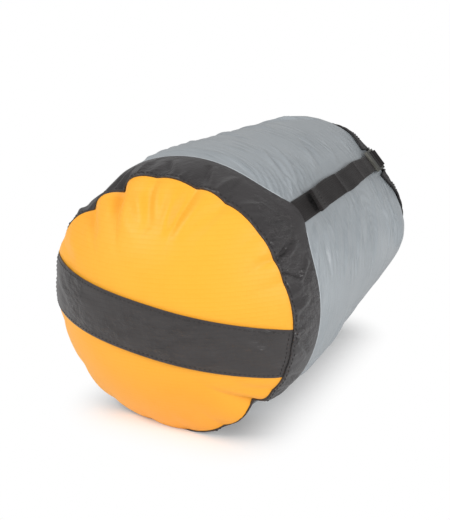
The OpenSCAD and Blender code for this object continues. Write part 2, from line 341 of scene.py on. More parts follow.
class Shader:
    """Builds the nodes of one material."""

    def __init__(self, name: str) -> None:
        """Starts a material that holds only its output node.

        Args:
            name: The material's name.
        """
        self.material = bpy.data.materials.new(name)
        self.material.use_nodes = True
        self.tree = self.material.node_tree
        self.tree.nodes.clear()
        self.output = self.tree.nodes.new("ShaderNodeOutputMaterial")

    def node(self, kind: str, settings: dict | None = None, inputs: dict | None = None,
             output: int | str = 0) -> Socket:
        """Adds a node.

        Args:
            kind: The node's type.
            settings: Its own settings, set before its sockets.
            inputs: Values or links by socket name or number.
            output: The output that is handed on.

        Returns:
            The chosen output.
        """
        made = self.tree.nodes.new(kind)
        for key, value in (settings or {}).items():
            setattr(made, key, value)
        for key, value in (inputs or {}).items():
            if isinstance(value, Socket):
                self.tree.links.new(value.link, made.inputs[key])
            else:
                made.inputs[key].default_value = value
        return Socket(self, made.outputs[output])

    def math(self, operation: str, *values: "Socket | float") -> Socket:
        """Adds a Math node for an operation on one or two values."""
        return self.node("ShaderNodeMath", {"operation": operation}, dict(enumerate(values)))

    def mix(self, factor: Socket, first: Colour, second: Colour) -> Socket:
        """Mixes two colours, with the first one at a factor of 0."""
        settings = {"data_type": "RGBA", "clamp_factor": True}
        return self.node("ShaderNodeMix", settings, {0: factor, 6: linear(first), 7: linear(second)}, 2)

    def place(self) -> Socket:
        """Place on the object in the row frame."""
        return self.node("ShaderNodeTexCoord", output="Object")

    def axes(self, vector: Socket) -> tuple[Socket, Socket, Socket]:
        """Splits a vector into its three values."""
        first = self.node("ShaderNodeSeparateXYZ", None, {0: vector})
        return first, *(Socket(self, output) for output in first.link.node.outputs[1:3])

    def noise(self, size: float, detail: float = 3.0, place: Socket | None = None) -> Socket:
        """Soft noise.

        Args:
            size: Size of its spots in millimetres, or in the units of the place.
            detail: Octaves of finer noise in it.
            place: Where to read it, instead of the row frame in metres.

        Returns:
            A value about 0.5.
        """
        scale = 1 / size if place else 1 / (size * MM)
        values = {"Vector": place or self.place(), "Scale": scale, "Detail": detail, "Roughness": 0.55}
        return self.node("ShaderNodeTexNoise", None, values)

    def bump(self, height: Socket, depth: float, **more: Socket) -> Socket:
        """Normal of a relief of a depth in millimetres; more may hold the Normal that it is added to."""
        return self.node("ShaderNodeBump", None, {"Distance": depth * MM, "Height": height, **more})

    def show(self, surface: Socket) -> Material:
        """Puts a shader on the surface and hands on the material."""
        self.tree.links.new(surface.link, self.output.inputs["Surface"])
        return self.material

    def finish(self, **sockets: object) -> Material:
        """Puts a Principled shader on the surface; underscores stand for spaces in its sockets' names."""
        named = {key.replace("_", " "): value for key, value in sockets.items()}
        return self.show(self.node("ShaderNodeBsdfPrincipled", None, named))


@dataclass(frozen=True)
class ClothFinish:
    """A woven, coated cloth with a faint grid of thicker threads and soft creasing, with light and shade
    painted into its colour along the creases.
    """

    name: str
    colour: Colour
    shade: Colour
    roughness: float
    lay: Lay = Lay.ROUND
    skew: float = 0.06
    grid: float = 3.4
    grid_line: Span = (0.36, 0.5)
    grid_depth: float = 0.06
    grid_tint: float = 0.12
    weft_share: float = 0.4
    weave: float = 1.1
    weave_share: float = 0.08
    crease: Span = (10.0, 10.0)
    crease_slant: float = 0.0
    crease_depth: float = 0.8
    # Share of the creases painted into the colour as lighter and darker streaks: painted light and shade.
    painted_crease_shading: float = 0.5
    patch: float = 45.0
    mottle: float = 60.0
    sheen: float = 0.1
    specular: float = 0.4

    def threads(self, shader: Shader) -> tuple[Socket, Socket]:
        """Runs of the two thread directions, in millimetres.

        Args:
            shader: The material that is being built.

        Returns:
            Distance along the weft and along the warp.
        """
        x, y, z = shader.axes(shader.place())
        if self.lay is Lay.FLAT:
            return (x + z * self.skew) / MM, (z - x * self.skew) / MM
        return shader.math("ARCTAN2", x, z - LAYOUT.axis_h * MM) * LAYOUT.body_r, y / MM

    def creases(self, shader: Shader, weft: Socket, warp: Socket) -> Socket:
        """Fine creases, drawn out along a slant and gathered in patches.

        Args:
            shader: The material that is being built.
            weft: Distance along the weft.
            warp: Distance along the warp.

        Returns:
            Their height, about 0.
        """
        c, s = math.cos(math.radians(self.crease_slant)), math.sin(math.radians(self.crease_slant))
        along = (weft * c + warp * s) / self.crease[0]
        across = (warp * c - weft * s) / self.crease[1]
        fine = shader.noise(1.0, 4.0, shader.node("ShaderNodeCombineXYZ", None, {0: along, 1: across}))
        return (fine - 0.5) * (shader.noise(self.patch, 2.0).step(0.4, 0.62) * 0.85 + 0.15)

    def build(self) -> Material:
        """Builds the material.

        Returns:
            The material.
        """
        shader = Shader(self.name)
        weft, warp = self.threads(shader)
        lines = [abs((run / self.grid).fraction() - 0.5).step(*self.grid_line) for run in (weft, warp)]
        grid = shader.math("MAXIMUM", lines[0] * self.weft_share, lines[1])
        pick = 2 * math.pi / self.weave
        weave = (weft * pick).sine() * (warp * pick).sine()
        creases = self.creases(shader, weft, warp)
        mottle = (shader.noise(self.mottle, 2.0) - 0.5) * 0.6
        # The grid and the mottle are the cloth's own tone; the creases term is painted light and shade along
        # the folds.
        tint = grid * self.grid_tint + mottle + creases * self.painted_crease_shading + 0.25
        relief = shader.bump(grid * 0.75 + weave * self.weave_share, self.grid_depth)
        return shader.finish(
            Base_Color=shader.mix(tint, self.colour, self.shade),
            Roughness=self.roughness + creases * 0.16 + grid * 0.05,
            Normal=shader.bump(creases + 0.5, self.crease_depth, Normal=relief),
            Sheen_Weight=self.sheen, Sheen_Roughness=0.4, Specular_IOR_Level=self.specular)


@dataclass(frozen=True)
class WebbingFinish:
    """Woven webbing: fine ribs along it, crossed by a zigzag of weft."""

    name: str = "webbing_black"
    colour: Colour = (52, 48, 48)
    shade: Colour = (22, 19, 19)
    rib: float = 1.6
    weft: float = 1.3
    relief: float = 0.16

    def build(self) -> Material:
        """Builds the material.

        Returns:
            The material.
        """
        shader = Shader(self.name)
        across, along, _ = shader.axes(shader.node("ShaderNodeUVMap", {"uv_map": "weave"}))
        rib = (across * (2 * math.pi / (self.rib * MM))).sine()
        zigzag = abs((across / (2 * self.rib * MM)).fraction() - 0.5) * 2.0
        weft = ((along / (self.weft * MM) + zigzag) * (2 * math.pi)).sine()
        fuzz = shader.noise(1.5, 2.0)
        tint = (rib * 0.25 + weft * 0.2 + 0.45) * 0.7 + (shader.noise(22.0) - 0.5) * 0.8
        return shader.finish(
            Base_Color=shader.mix(tint, self.shade, self.colour), Roughness=0.62 + fuzz * 0.15,
            Normal=shader.bump(rib * 0.35 + weft * 0.25 + fuzz * 0.4, self.relief),
            Sheen_Weight=0.1, Sheen_Roughness=0.4, Specular_IOR_Level=0.25)


@dataclass(frozen=True)
class PlasticFinish:
    """Moulded plastic with a fine grain and a painted highlight: paler colour on its pointy edges."""

    name: str
    colour: Colour
    # Colour of the painted highlight on pointy edges.
    edge: Colour
    roughness: float = 0.42
    grain: float = 0.5
    relief: float = 0.03

    def build(self) -> Material:
        """Builds the material.

        Returns:
            The material.
        """
        shader = Shader(self.name)
        smear = shader.noise(6.0) - 0.5
        # Painted highlight: the colour turns paler where the surface is pointy.
        painted_edge_highlight = shader.node("ShaderNodeNewGeometry", output="Pointiness").step(0.51, 0.6)
        return shader.finish(
            Base_Color=shader.mix(painted_edge_highlight * 0.7 + smear * 0.4, self.colour, self.edge),
            Roughness=self.roughness + smear * 0.2,
            Normal=shader.bump(shader.noise(self.grain, 2.0), self.relief))


@dataclass(frozen=True)
class ThreadFinish:
    """Twisted sewing thread, or with a larger twist a thin waxy tape."""

    name: str
    colour: Colour
    lit: Colour
    twist: float = 0.5
    relief: float = 0.1
    roughness: float = 0.55

    def build(self) -> Material:
        """Builds the material.

        Returns:
            The material.
        """
        shader = Shader(self.name)
        twist = shader.noise(self.twist, 2.0)
        return shader.finish(Base_Color=shader.mix(twist, self.colour, self.lit),
                             Roughness=self.roughness + twist * 0.2, Normal=shader.bump(twist, self.relief))


@dataclass(frozen=True)
class FloorFinish:
    """Pale paper floor that fades to plain white away from the sack."""

    name: str = "floor_pale"
    colour: Colour = (250, 250, 250)
    half_width: float = 0.045
    half_length: float = 0.11
    far: float = 0.07

    def build(self) -> Material:
        """Builds the material.

        Returns:
            The material.
        """
        shader = Shader(self.name)
        x, y, _ = shader.axes(shader.place())
        side, end = abs(x).over(self.half_width), abs(y).over(self.half_length)
        reach = shader.math("SQRT", side * side + end * end)
        seen = shader.node("ShaderNodeLightPath", output="Is Camera Ray")
        paper = shader.node("ShaderNodeBsdfDiffuse", None, {"Color": linear(self.colour)})
        white = shader.node("ShaderNodeEmission", None, {"Color": (1, 1, 1, 1), "Strength": 1.0})
        share = reach.step(0.0, self.far) * seen
        return shader.show(shader.node("ShaderNodeMixShader", None, {0: share, 1: paper, 2: white}))


class Wardrobe:
    """The finishes of the sack, each built once."""

    def __init__(self) -> None:
        """Builds every finish."""
        # Each cloth's crease share paints light and shade along its creases into its colour; the grey's
        # colour and shade are spread wide so that its painted streaks show strongly.
        self.amber = ClothFinish(
            "cloth_amber", (253, 178, 56), (248, 164, 30), 0.5, Lay.FLAT, grid_tint=0.2, crease=(26.0, 26.0),
            crease_depth=0.7, sheen=0.05, specular=0.3).build()
        self.charcoal = ClothFinish(
            "cloth_charcoal", (52, 49, 50), (30, 28, 29), 0.37, crease=(7.0, 13.0), crease_slant=-20.0,
            crease_depth=5.0, sheen=0.05, specular=0.55, painted_crease_shading=1.2).build()
        self.band = ClothFinish(
            "cloth_band", (60, 57, 57), (34, 31, 31), 0.4, Lay.FLAT, crease=(16.0, 11.0), crease_depth=4.0,
            sheen=0.05, painted_crease_shading=1.6, patch=60.0).build()
        self.grey = ClothFinish(
            "cloth_grey", (162, 168, 172), (124, 132, 138), 0.36, grid_tint=0.05, weave_share=0.0,
            specular=0.55, crease=(40.0, 5.0), crease_slant=-15.0, crease_depth=2.6, painted_crease_shading=1.4).build()
        self.black = ClothFinish("cloth_black", (44, 41, 42), (26, 24, 25), 0.48, crease=(8.0, 8.0)).build()
        self.webbing = WebbingFinish().build()
        # The second colour of the lock and the clip is their painted edge highlight.
        self.lock = PlasticFinish("plastic_gunmetal", (50, 51, 47), (116, 115, 108)).build()
        self.clip = PlasticFinish("plastic_black", (34, 34, 36), (70, 70, 72)).build()
        self.thread = ThreadFinish("thread_black", (26, 24, 25), (56, 52, 52)).build()
        # The tape's pale colour is partly its own and partly a painted highlight along the ring's edge.
        self.tape = ThreadFinish("tape_pale_painted_highlight", (198, 204, 208), (176, 183, 188), 5.0, 0.08, 0.3).build()


@dataclass(frozen=True)
class Fold:
    """A crease in the cloth from one place to another, with a hollow beside its ridge."""

    start: Span
    end: Span
    height: float
    width: float
    bow: float = 0.0
    hollow: float = 0.6
    hollow_off: float = 1.7
    hollow_width: float = 1.1
    taper: float = 0.7

    def lift(self, u: Array, v: Array) -> Array:
        """Height of the crease.

        Args:
            u: Distance across, in millimetres.
            v: Distance along, in millimetres.

        Returns:
            Millimetres out of the cloth at each place.
        """
        run = np.subtract(self.end, self.start)
        length = math.hypot(*run)
        du, dv = u - self.start[0], v - self.start[1]
        t = (du * run[0] + dv * run[1]) / length**2
        off = (du * run[1] - dv * run[0]) / length - self.bow * 4 * t * (1 - t)
        beside = hump(off - self.hollow_off * self.width, self.hollow_width * self.width)
        ends = np.sin(math.pi * np.clip(t, 0, 1)) ** self.taper
        return self.height * ends * (hump(off, self.width) - self.hollow * beside)


def creased(rows: Rows, u: Array, v: Array) -> Array:
    """Height of several creases, each given by its two ends, its height and its width."""
    return sum(Fold((u0, v0), (u1, v1), tall, wide).lift(u, v) for u0, v0, u1, v1, tall, wide in rows)


class MeshParts:
    """Gathers the vertices and faces of one piece."""

    sharp = 65.0

    def __init__(self) -> None:
        """Starts with nothing."""
        self.vertices: list[Array] = []
        self.faces: Faces = []
        self.weave: list[Array] = []
        self.count = 0

    def add(self, vertices: Array, faces: Faces, weave: Array | None = None) -> None:
        """Adds a part.

        Args:
            vertices: Its points.
            faces: Its faces, counted from its own first point.
            weave: Places across and along the webbing for each point.
        """
        self.vertices.append(vertices)
        self.weave.append(np.zeros((len(vertices), 2)) if weave is None else weave)
        self.faces += [tuple(i + self.count for i in face) for face in faces]
        self.count += len(vertices)

    def object(self, name: str) -> Piece:
        """Makes the piece.

        Args:
            name: The piece's name.

        Returns:
            An object above the floor with smooth faces and a map of its weave.
        """
        points = np.concatenate(self.vertices)
        points[:, 2] = np.maximum(points[:, 2], 0)
        mesh = bpy.data.meshes.new(name)
        mesh.from_pydata(points.tolist(), [], self.faces)
        shade(mesh, self.sharp)
        corner = np.zeros(len(mesh.loops), np.int32)
        mesh.loops.foreach_get("vertex_index", corner)
        layer = mesh.uv_layers.new(name="weave")
        layer.data.foreach_set("uv", np.concatenate(self.weave)[corner].astype(np.float32).ravel())
        mesh.update()
        return add_object(name, mesh)


def shell(name: str, grid: Array, thick: float, closed: bool = True, capped: bool = False) -> Piece:
    """Makes a sheet of cloth with two faces from a grid of points.

    Args:
        name: The piece's name.
        grid: Points by row and column, seen from outside with columns to the right of the rows.
        thick: Thickness in millimetres, laid inwards.
        closed: Whether the last column joins the first.
        capped: Whether the first row closes round a pole.

    Returns:
        The sheet.
    """
    rows, cols = grid.shape[:2]
    around = np.roll(grid, -1, 1) - np.roll(grid, 1, 1) if closed else np.gradient(grid, axis=1)
    inner = grid - unit(np.cross(around, np.gradient(grid, axis=0)), 1e-12) * thick * MM
    half = rows * cols
    steps = [(j, (j + 1) % cols) for j in range(cols if closed else cols - 1)]
    faces: Faces = []
    for i in range(rows - 1):
        a, b = i * cols, (i + 1) * cols
        faces += [(a + j, a + k, b + k, b + j) for j, k in steps]
        faces += [(half + b + j, half + b + k, half + a + k, half + a + j) for j, k in steps]
        if not closed:
            c, d = a + cols - 1, b + cols - 1
            faces += [(a, b, half + b, half + a), (d, c, half + c, half + d)]
    end = half - cols
    faces += [(end + j, end + k, half + end + k, half + end + j) for j, k in steps]
    vertices = np.concatenate([grid.reshape(-1, 3), inner.reshape(-1, 3)])
    if capped:
        vertices = np.concatenate([vertices, [grid[0].mean(0), inner[0].mean(0)]])
        faces += [(2 * half, k, j) for j, k in steps] + [(2 * half + 1, half + j, half + k) for j, k in steps]
    else:
        faces += [(half + j, half + k, k, j) for j, k in steps]
    parts = MeshParts()
    parts.add(vertices, faces)
    return parts.object(name)


def tube_faces(rows: int, cols: int) -> Faces:
    """Faces round a closed section in each of several rows, with both ends shut.

    Args:
        rows: Number of sections.
        cols: Points in each section.

    Returns:
        The faces.
    """
    steps = [(j, (j + 1) % cols) for j in range(cols)]
    starts = [(i * cols, (i + 1) * cols) for i in range(rows - 1)]
    faces: Faces = [(a + j, a + k, b + k, b + j) for a, b in starts for j, k in steps]
    return faces + [tuple(reversed(range(cols))), tuple(range((rows - 1) * cols, rows * cols))]


def webbing_section(width: float, thick: float, edge: float = 0.55) -> Array:
    """Cross section of webbing with rounded edges.

    Args:
        width: Width in millimetres.
        thick: Thickness in millimetres.
        edge: Rounding of its edges.

    Returns:
        Points across and up, in turn round the section.
    """
    w, t = width / 2, thick / 2
    top = [(x, t) for x in np.linspace(-w + edge, w - edge, 7)]
    low = [(x, -t) for x in np.linspace(w - edge, -w + edge, 7)]
    return np.array(top + [(w, t - edge), (w, edge - t)] + low + [(-w, edge - t), (-w, t - edge)])


def sweep(parts: MeshParts, centre: Array, side: Array, section: Array) -> None:
    """Adds a section that is swept along a line.

    Args:
        parts: Where it is added.
        centre: Points of the line in metres.
        side: Direction across, one for all points or one for each.
        section: Points of the section, across and up, in millimetres.
    """
    side = np.broadcast_to(side, centre.shape)
    up = unit(np.cross(side, np.gradient(centre, axis=0)))
    across, rise = section[:, 0], section[:, 1]
    offset = side[:, None] * across[None, :, None] + up[:, None] * rise[None, :, None]
    points = centre[:, None] + offset * MM
    weave = np.stack(np.broadcast_arrays(across[None, :] * MM, run_along(centre)[:, None]), axis=-1)
    parts.add(points.reshape(-1, 3), tube_faces(*points.shape[:2]), weave.reshape(-1, 2))


# Along a stitch: share of its length, girth and height, both as shares of the thread's radius.
STITCH_FORM = np.array(
    [(0.0, 0.25, -0.5), (0.18, 0.9, 0.2), (0.5, 1.0, 0.5), (0.82, 0.9, 0.2), (1.0, 0.25, -0.5)])


def sewn(name: str, rows: list[tuple[Array, Array]], kind: Stitch = Stitch.PLAIN) -> Piece:
    """Makes rows of stitches on the cloth.

    Args:
        name: The piece's name.
        rows: Each row's points in metres, with the direction out of the cloth for all or for each of them.
        kind: The kind of stitching.

    Returns:
        The stitches.
    """
    long, gap, thick = kind.value
    at, girth, rise = STITCH_FORM.T
    turn = np.arange(6) * math.pi / 3
    parts = MeshParts()
    for line, up in rows:
        up = np.broadcast_to(up, line.shape)
        run = run_along(line) / MM
        for begin in np.arange(0, run[-1] - long, long + gap):
            spots = begin + at * long
            centre, out = (np.stack([np.interp(spots, run, of[:, i]) for i in range(3)], axis=-1)
                           for of in (line, up))
            out = unit(out)
            side = unit(np.cross(centre[-1] - centre[0], out))
            centre = centre + out * (rise * thick * MM)[:, None]
            ring = side[:, None] * np.cos(turn)[None, :, None] + out[:, None] * np.sin(turn)[None, :, None]
            points = centre[:, None] + ring * girth[:, None, None] * thick * MM
            parts.add(points.reshape(-1, 3), tube_faces(*points.shape[:2]))
    return parts.object(name)


@dataclass
class SubAssembly:
    """A part of the sack that makes its pieces; some of them are handed to their bodies."""

    finishes: Wardrobe
    pieces: list[Piece] = field(default_factory=list, init=False)

    def dress(self, piece: Piece, material: Material, slot: Slot, *nodes: str) -> Piece:
        """Gives a piece its finish and hides the solids that it replaces.

        Args:
            piece: The new piece.
            material: Its finish.
            slot: Not used.
            nodes: The solids that it replaces.

        Returns:
            The same piece.
        """
        self.paint(piece, material)
        if nodes:
            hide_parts(*nodes)
        self.pieces.append(piece)
        return piece

    def paint(self, piece: Piece, material: Material) -> None:
        """Gives a piece, or a solid that stays in the scene, its only finish."""
        piece.data.materials.clear()
        piece.data.materials.append(material)

    def rounded(self, name: str, node: str, bevel: float) -> Piece:
        """Copies a moulded solid with its edges rounded.

        Args:
            name: Name of the new piece.
            node: The solid that it follows.
            bevel: Rounding in millimetres.

        Returns:
            The rounded copy.
        """
        made = add_object(name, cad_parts[node].data.copy())
        made.modifiers.new("weld", "WELD").merge_threshold = 1e-5
        edge = made.modifiers.new("rounding", "BEVEL")
        edge.width = bevel * MM
        edge.segments = 3
        edge.limit_method = "ANGLE"
        edge.angle_limit = math.radians(40)
        seen = made.evaluated_get(bpy.context.evaluated_depsgraph_get())
        made.data = bpy.data.meshes.new_from_object(seen)
        made.modifiers.clear()
        shade(made.data, 35)
        return made


@dataclass(frozen=True)
class Notch:
    """A place where the base's gathers are pinched into its seam."""

    angle: float
    depth: float
    before: float = 4.0
    after: float = 4.0
    reach: float = 0.35

    def pinch(self, angle: Array, spread: Array | float = 1.0, power: float = 1.25) -> Array:
        """Share of the pinch at an angle, 1 at the notch; it is wider with its spread."""
        off = turn_from(angle, self.angle)
        return hump(np.abs(off), np.where(off < 0, self.before, self.after) * spread, power)


@dataclass(frozen=True)
class Crown:
    """Form of the gathered base: its scalloped seam and its crown."""

    seam_r: float = 108.0
    seam_mean: float = 110.3
    height: float = 46.0
    power: float = 2.4
    lip: float = 1.4
    draw: float = 0.35
    sag: float = 7.0
    sag_angle: float = 240.0
    sag_width: float = 66.0
    bulge: float = 3.0
    valley: float = 0.4
    notches: tuple[Notch, ...] = (
        Notch(-43, 9, 10, 6), Notch(-23, 11, 10.5, 4), Notch(-4, 2.5, 5, 5, 0.5), Notch(14.7, 4.7, 9, 4, 0.5),
        Notch(29, 3, 4, 4, 0.4), Notch(47, 0.8), Notch(59, 2.5, 4, 4, 0.2), Notch(69, 2.5, 6, 6, 0.2),
        Notch(97, 1.2), Notch(107, 1.0), Notch(120, 2.5, 5, 5), Notch(131.5, 9.5, 4.5, 7),
        Notch(152, 2, 5, 5), Notch(171, 1.5, 5, 5), Notch(190, 1.5, 5, 5), Notch(210, 1.2),
        Notch(219, -2.5, 18, 18), Notch(231, 1.5), Notch(254, 1.2), Notch(275, 1.2), Notch(293, 1.5, 4, 5))

    def rolled(self, angle: Array) -> Array:
        """Share by which the base rolls over its seam, full low on the left."""
        return hump(turn_from(angle, self.sag_angle), self.sag_width, 8)

    def seam(self, angle: Array) -> tuple[Array, Array]:
        """Scalloped line of the base seam.

        Args:
            angle: Angles from the top.

        Returns:
            Radius and place along the axis: low on the left the base rolls over the seam.
        """
        pinch = sum(n.depth * n.pinch(angle) for n in self.notches)
        rolled = self.rolled(angle)
        return self.seam_mean - pinch + self.bulge * rolled, self.draw * pinch + self.sag * rolled

    def place(self, angle: Array, radius: Array) -> Array:
        """Form of the crown.

        Args:
            angle: Angles from the top.
            radius: Radii from the axis.

        Returns:
            Places along the axis.
        """
        rim, back = self.seam(angle)
        q = np.clip(radius / (self.seam_r + (rim - self.seam_r) * (radius / rim) ** 5), 0, 1)
        return -self.height * (1 - q**self.power) + self.lip * q**40 + back * q**8

    def gathers(self, angle: Array, back: Array) -> Array:
        """Depth of the valleys that run away from the notches.

        Args:
            angle: Angles from the top.
            back: Distance from the seam as a share of the cloth's length.

        Returns:
            Depth in millimetres.
        """
        depth = np.zeros(np.broadcast(angle, back).shape)
        for n in self.notches:
            fade = np.clip(1 - back / n.reach, 0, 1) ** 1.5
            depth += self.valley * n.depth * fade * n.pinch(angle, 0.7 + 1.2 * back / n.reach, 1.7)
        return depth


CROWN = Crown()


@dataclass
class Base(SubAssembly):
    """The crowned amber base panel, the dark ring round it and the stitches in their seam."""

    columns: int = 432
    panel_rows: int = 72
    ring_rows: int = 40
    cloth: float = 0.8
    sway: tuple[float, float, float] = (0.5, 31.0, 37.0)
    roll: float = 3.0
    lip: float = 0.9
    lip_share: float = 0.02
    seed: int = 11
    gather_gain: float = 1.5
    pucker_pitch: float = 4.6
    pucker_shift: float = 2.0
    pucker_width: Span = (0.9, 1.9)
    pucker_reach: Span = (0.25, 0.85)
    pucker_height: float = 1.7
    pucker_lean: float = 5.0
    crease_gain: float = 1.5
    crease_share: float = 0.8
    # Each crease: X and Z of both its ends, its height and its width.
    panel_creases: Rows = (
        (-12, 101, 2, 74, -1.5, 4.5), (11, 103, 15, 72, 1.5, 4.5), (37, 99, 22, 68, 1.7, 5),
        (-44, 91, -37, 79, -1.2, 4), (57, 91, 36, 66, 1.1, 5), (-33, 95, 0, 72, -1.3, 5),
        (23, 103, 18, 70, -1.2, 4), (-4, 106, 9, 76, 1.3, 4.5), (95, 58, 82, 53, -1.0, 3),
        (-66, 72, -50, 62, -1.2, 5), (-90, 50, -66, 42, 0.9, 6), (90, -56, 70, -46, -1.0, 5))
    # Each crease: angle and place of both its ends, its height and its width.
    ring_creases: Rows = (
        (59.6, 1, 56, 34, -2.0, 3.2), (64, 3, 71, 22, -1.6, 3), (91, 4, 105, 31, -1.2, 4),
        (17, 6, 11, 35, -1.6, 3.5), (24, 1, 23, 34, 1.4, 3.5), (72, 17, 66, 40, 1.3, 3.5),
        (34, 2, 40, 30, 1.2, 4), (1, 4, -6, 30, -1.4, 4), (-13, 3, -15, 36, 1.2, 4),
        (-30, 2, -27, 28, -1.8, 4), (82, 3, 80, 26, 1.1, 4), (112, 4, 118, 34, -1.4, 4),
        (128, 3, 124, 30, 1.2, 4), (150, 3, 158, 30, -1.2, 4), (205, 3, 198, 32, 1.2, 4),
        (231, 3, 240, 33, -1.2, 4), (256, 3, 250, 32, 1.1, 4), (288, 3, 295, 32, -1.3, 4),
        (310, 3, 303, 30, 1.2, 4), (45, 8, 49, 44, -1.1, 4))
    tape_s: tuple[float, ...] = (-1.5, 0.0, 0.8, 1.5)
    tape_lift: tuple[float, ...] = (0.2, 0.9, 0.8, -0.6)

    def panel(self) -> Piece:
        """Crowned panel, gathered into its seam.

        Returns:
            The panel as a sheet.
        """
        angle = round_angles(self.columns)
        q = np.sin(np.linspace(POLE, math.pi / 2, self.panel_rows))[:, None]
        radius = q * CROWN.seam(angle)[0]
        x, z = radius * np.sin(np.radians(angle)), radius * np.cos(np.radians(angle))
        tall, wide, high = self.sway
        uneven = tall * np.sin(x / wide + 1) * np.sin(z / high) * (1 - q**8)
        relief = creased(self.panel_creases, x, z) - CROWN.gathers(angle, 1 - q) + uneven
        slope = CROWN.height * CROWN.power * q ** (CROWN.power - 1) / CROWN.seam_r
        lift = relief * (1 - q**60) / np.sqrt(1 + slope**2)
        grid = LAYOUT.point(angle, radius + lift * slope, CROWN.place(angle, radius) - lift)
        return shell("panel_amber", grid, self.cloth, capped=True)

    def ring_relief(self, angle: Array, v: Array, s: Array) -> Array:
        """Gathers, puckers and creases of the dark ring.

        Args:
            angle: Angles from the top.
            v: 0 at the base seam, 1 at the tube.
            s: Places along the axis.

        Returns:
            Their height in millimetres.
        """
        rng = np.random.default_rng(self.seed)
        relief = -self.gather_gain * CROWN.gathers(angle, v * 0.5)
        for pucker in np.arange(0, 360, self.pucker_pitch):
            middle = pucker + rng.uniform(-self.pucker_shift, self.pucker_shift)
            wide, reach = rng.uniform(*self.pucker_width), rng.uniform(*self.pucker_reach)
            tall = rng.uniform(-self.pucker_height, self.pucker_height)
            lean = rng.uniform(-self.pucker_lean, self.pucker_lean)
            fade = np.clip(1 - v / reach, 0, 1)
            relief = relief + tall * hump(turn_from(angle, middle + lean * v), wide) * fade
        scale = math.radians(LAYOUT.body_r)
        for a0, s0, a1, s1, tall, wide in self.ring_creases:
            fold = Fold((0, s0), ((a1 - a0) * scale, s1), self.crease_gain * tall, self.crease_share * wide)
            relief = relief + fold.lift(turn_from(angle, a0) * scale, s)
        near = hump(LAYOUT.from_strap(angle), 6.5, 4)
        return relief * smooth(v, 0, 0.06) * (1 - smooth(v, 0.75, 1.0)) + 1.5 * near * smooth(v, 0.6, 0.95)

    def ring_place(self, angle: Array, v: Array) -> tuple[Array, Array]:
        """Places on the dark ring.

        Args:
            angle: Angles from the top.
            v: 0 at the base seam, 1 at the tube.

        Returns:
            Radius and place along the axis.
        """
        rim, back = CROWN.seam(angle)
        low = rim + 0.6 - self.roll * CROWN.rolled(angle)
        outer = LAYOUT.wall_r(angle, LAYOUT.ring_edge(angle)) + 0.7
        lip = np.exp(-v / self.lip_share)
        radius = low + (outer - low) * np.sqrt(np.clip(1 - (1 - v) ** 2, 0, 1)) - self.lip * lip
        s = back + (LAYOUT.ring_edge(angle) - back) * v
        bead = self.lip * hump(v - self.lip_share, self.lip_share)
        return radius + self.ring_relief(angle, v, s), s - bead + 1.4 * lip

    def ring(self) -> Piece:
        """Dark ring from the base seam to the tube.

        Returns:
            The ring as a sheet.
        """
        angle = round_angles(2 * self.columns)
        v = (np.linspace(0, 1, self.ring_rows) ** 1.5)[:, None]
        return shell("ring_dark", LAYOUT.point(angle, *self.ring_place(angle, v)), self.cloth)

    def seam_row(self) -> Piece:
        """Row of stitches on the ring beside the base seam.

        Returns:
            The stitches.
        """
        angle = np.linspace(0, 360, 1441)
        line, ahead = (LAYOUT.point(angle, *self.ring_place(angle, np.full_like(angle, v)))
                       for v in (0.06, 0.08))
        return sewn("base_seam_stitches", [(line, unit(np.cross(np.gradient(line, axis=0), ahead - line)))])

    def tape_edge_painted_highlight(self) -> Piece:
        """Edge of the seam tape that shows between the ring and the tube, coloured pale to paint the
        highlight along the ring's edge.

        Returns:
            The edge.
        """
        angle = round_angles(2 * self.columns)
        s = LAYOUT.ring_edge(angle) + np.array(self.tape_s)[:, None]
        radius = LAYOUT.wall_r(angle, s) + np.array(self.tape_lift)[:, None]
        return shell("tape_edge_painted_highlight", LAYOUT.point(angle, radius, s), 0.4)

    def build(self) -> None:
        """Makes the panel, the ring, the tape's edge and the stitches, all fixed to the sack."""
        panel = self.dress(self.panel(), self.finishes.amber, Slot.BASE, "base_panel")
        ring = self.dress(self.ring(), self.finishes.charcoal, Slot.DARK, "base_ring")
        self.dress(self.seam_row(), self.finishes.thread, Slot.THREAD)
        self.dress(self.tape_edge_painted_highlight(), self.finishes.tape, Slot.TAPE, "ring_seam_tape")
        for piece in self.pieces:
            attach(piece, "sack")


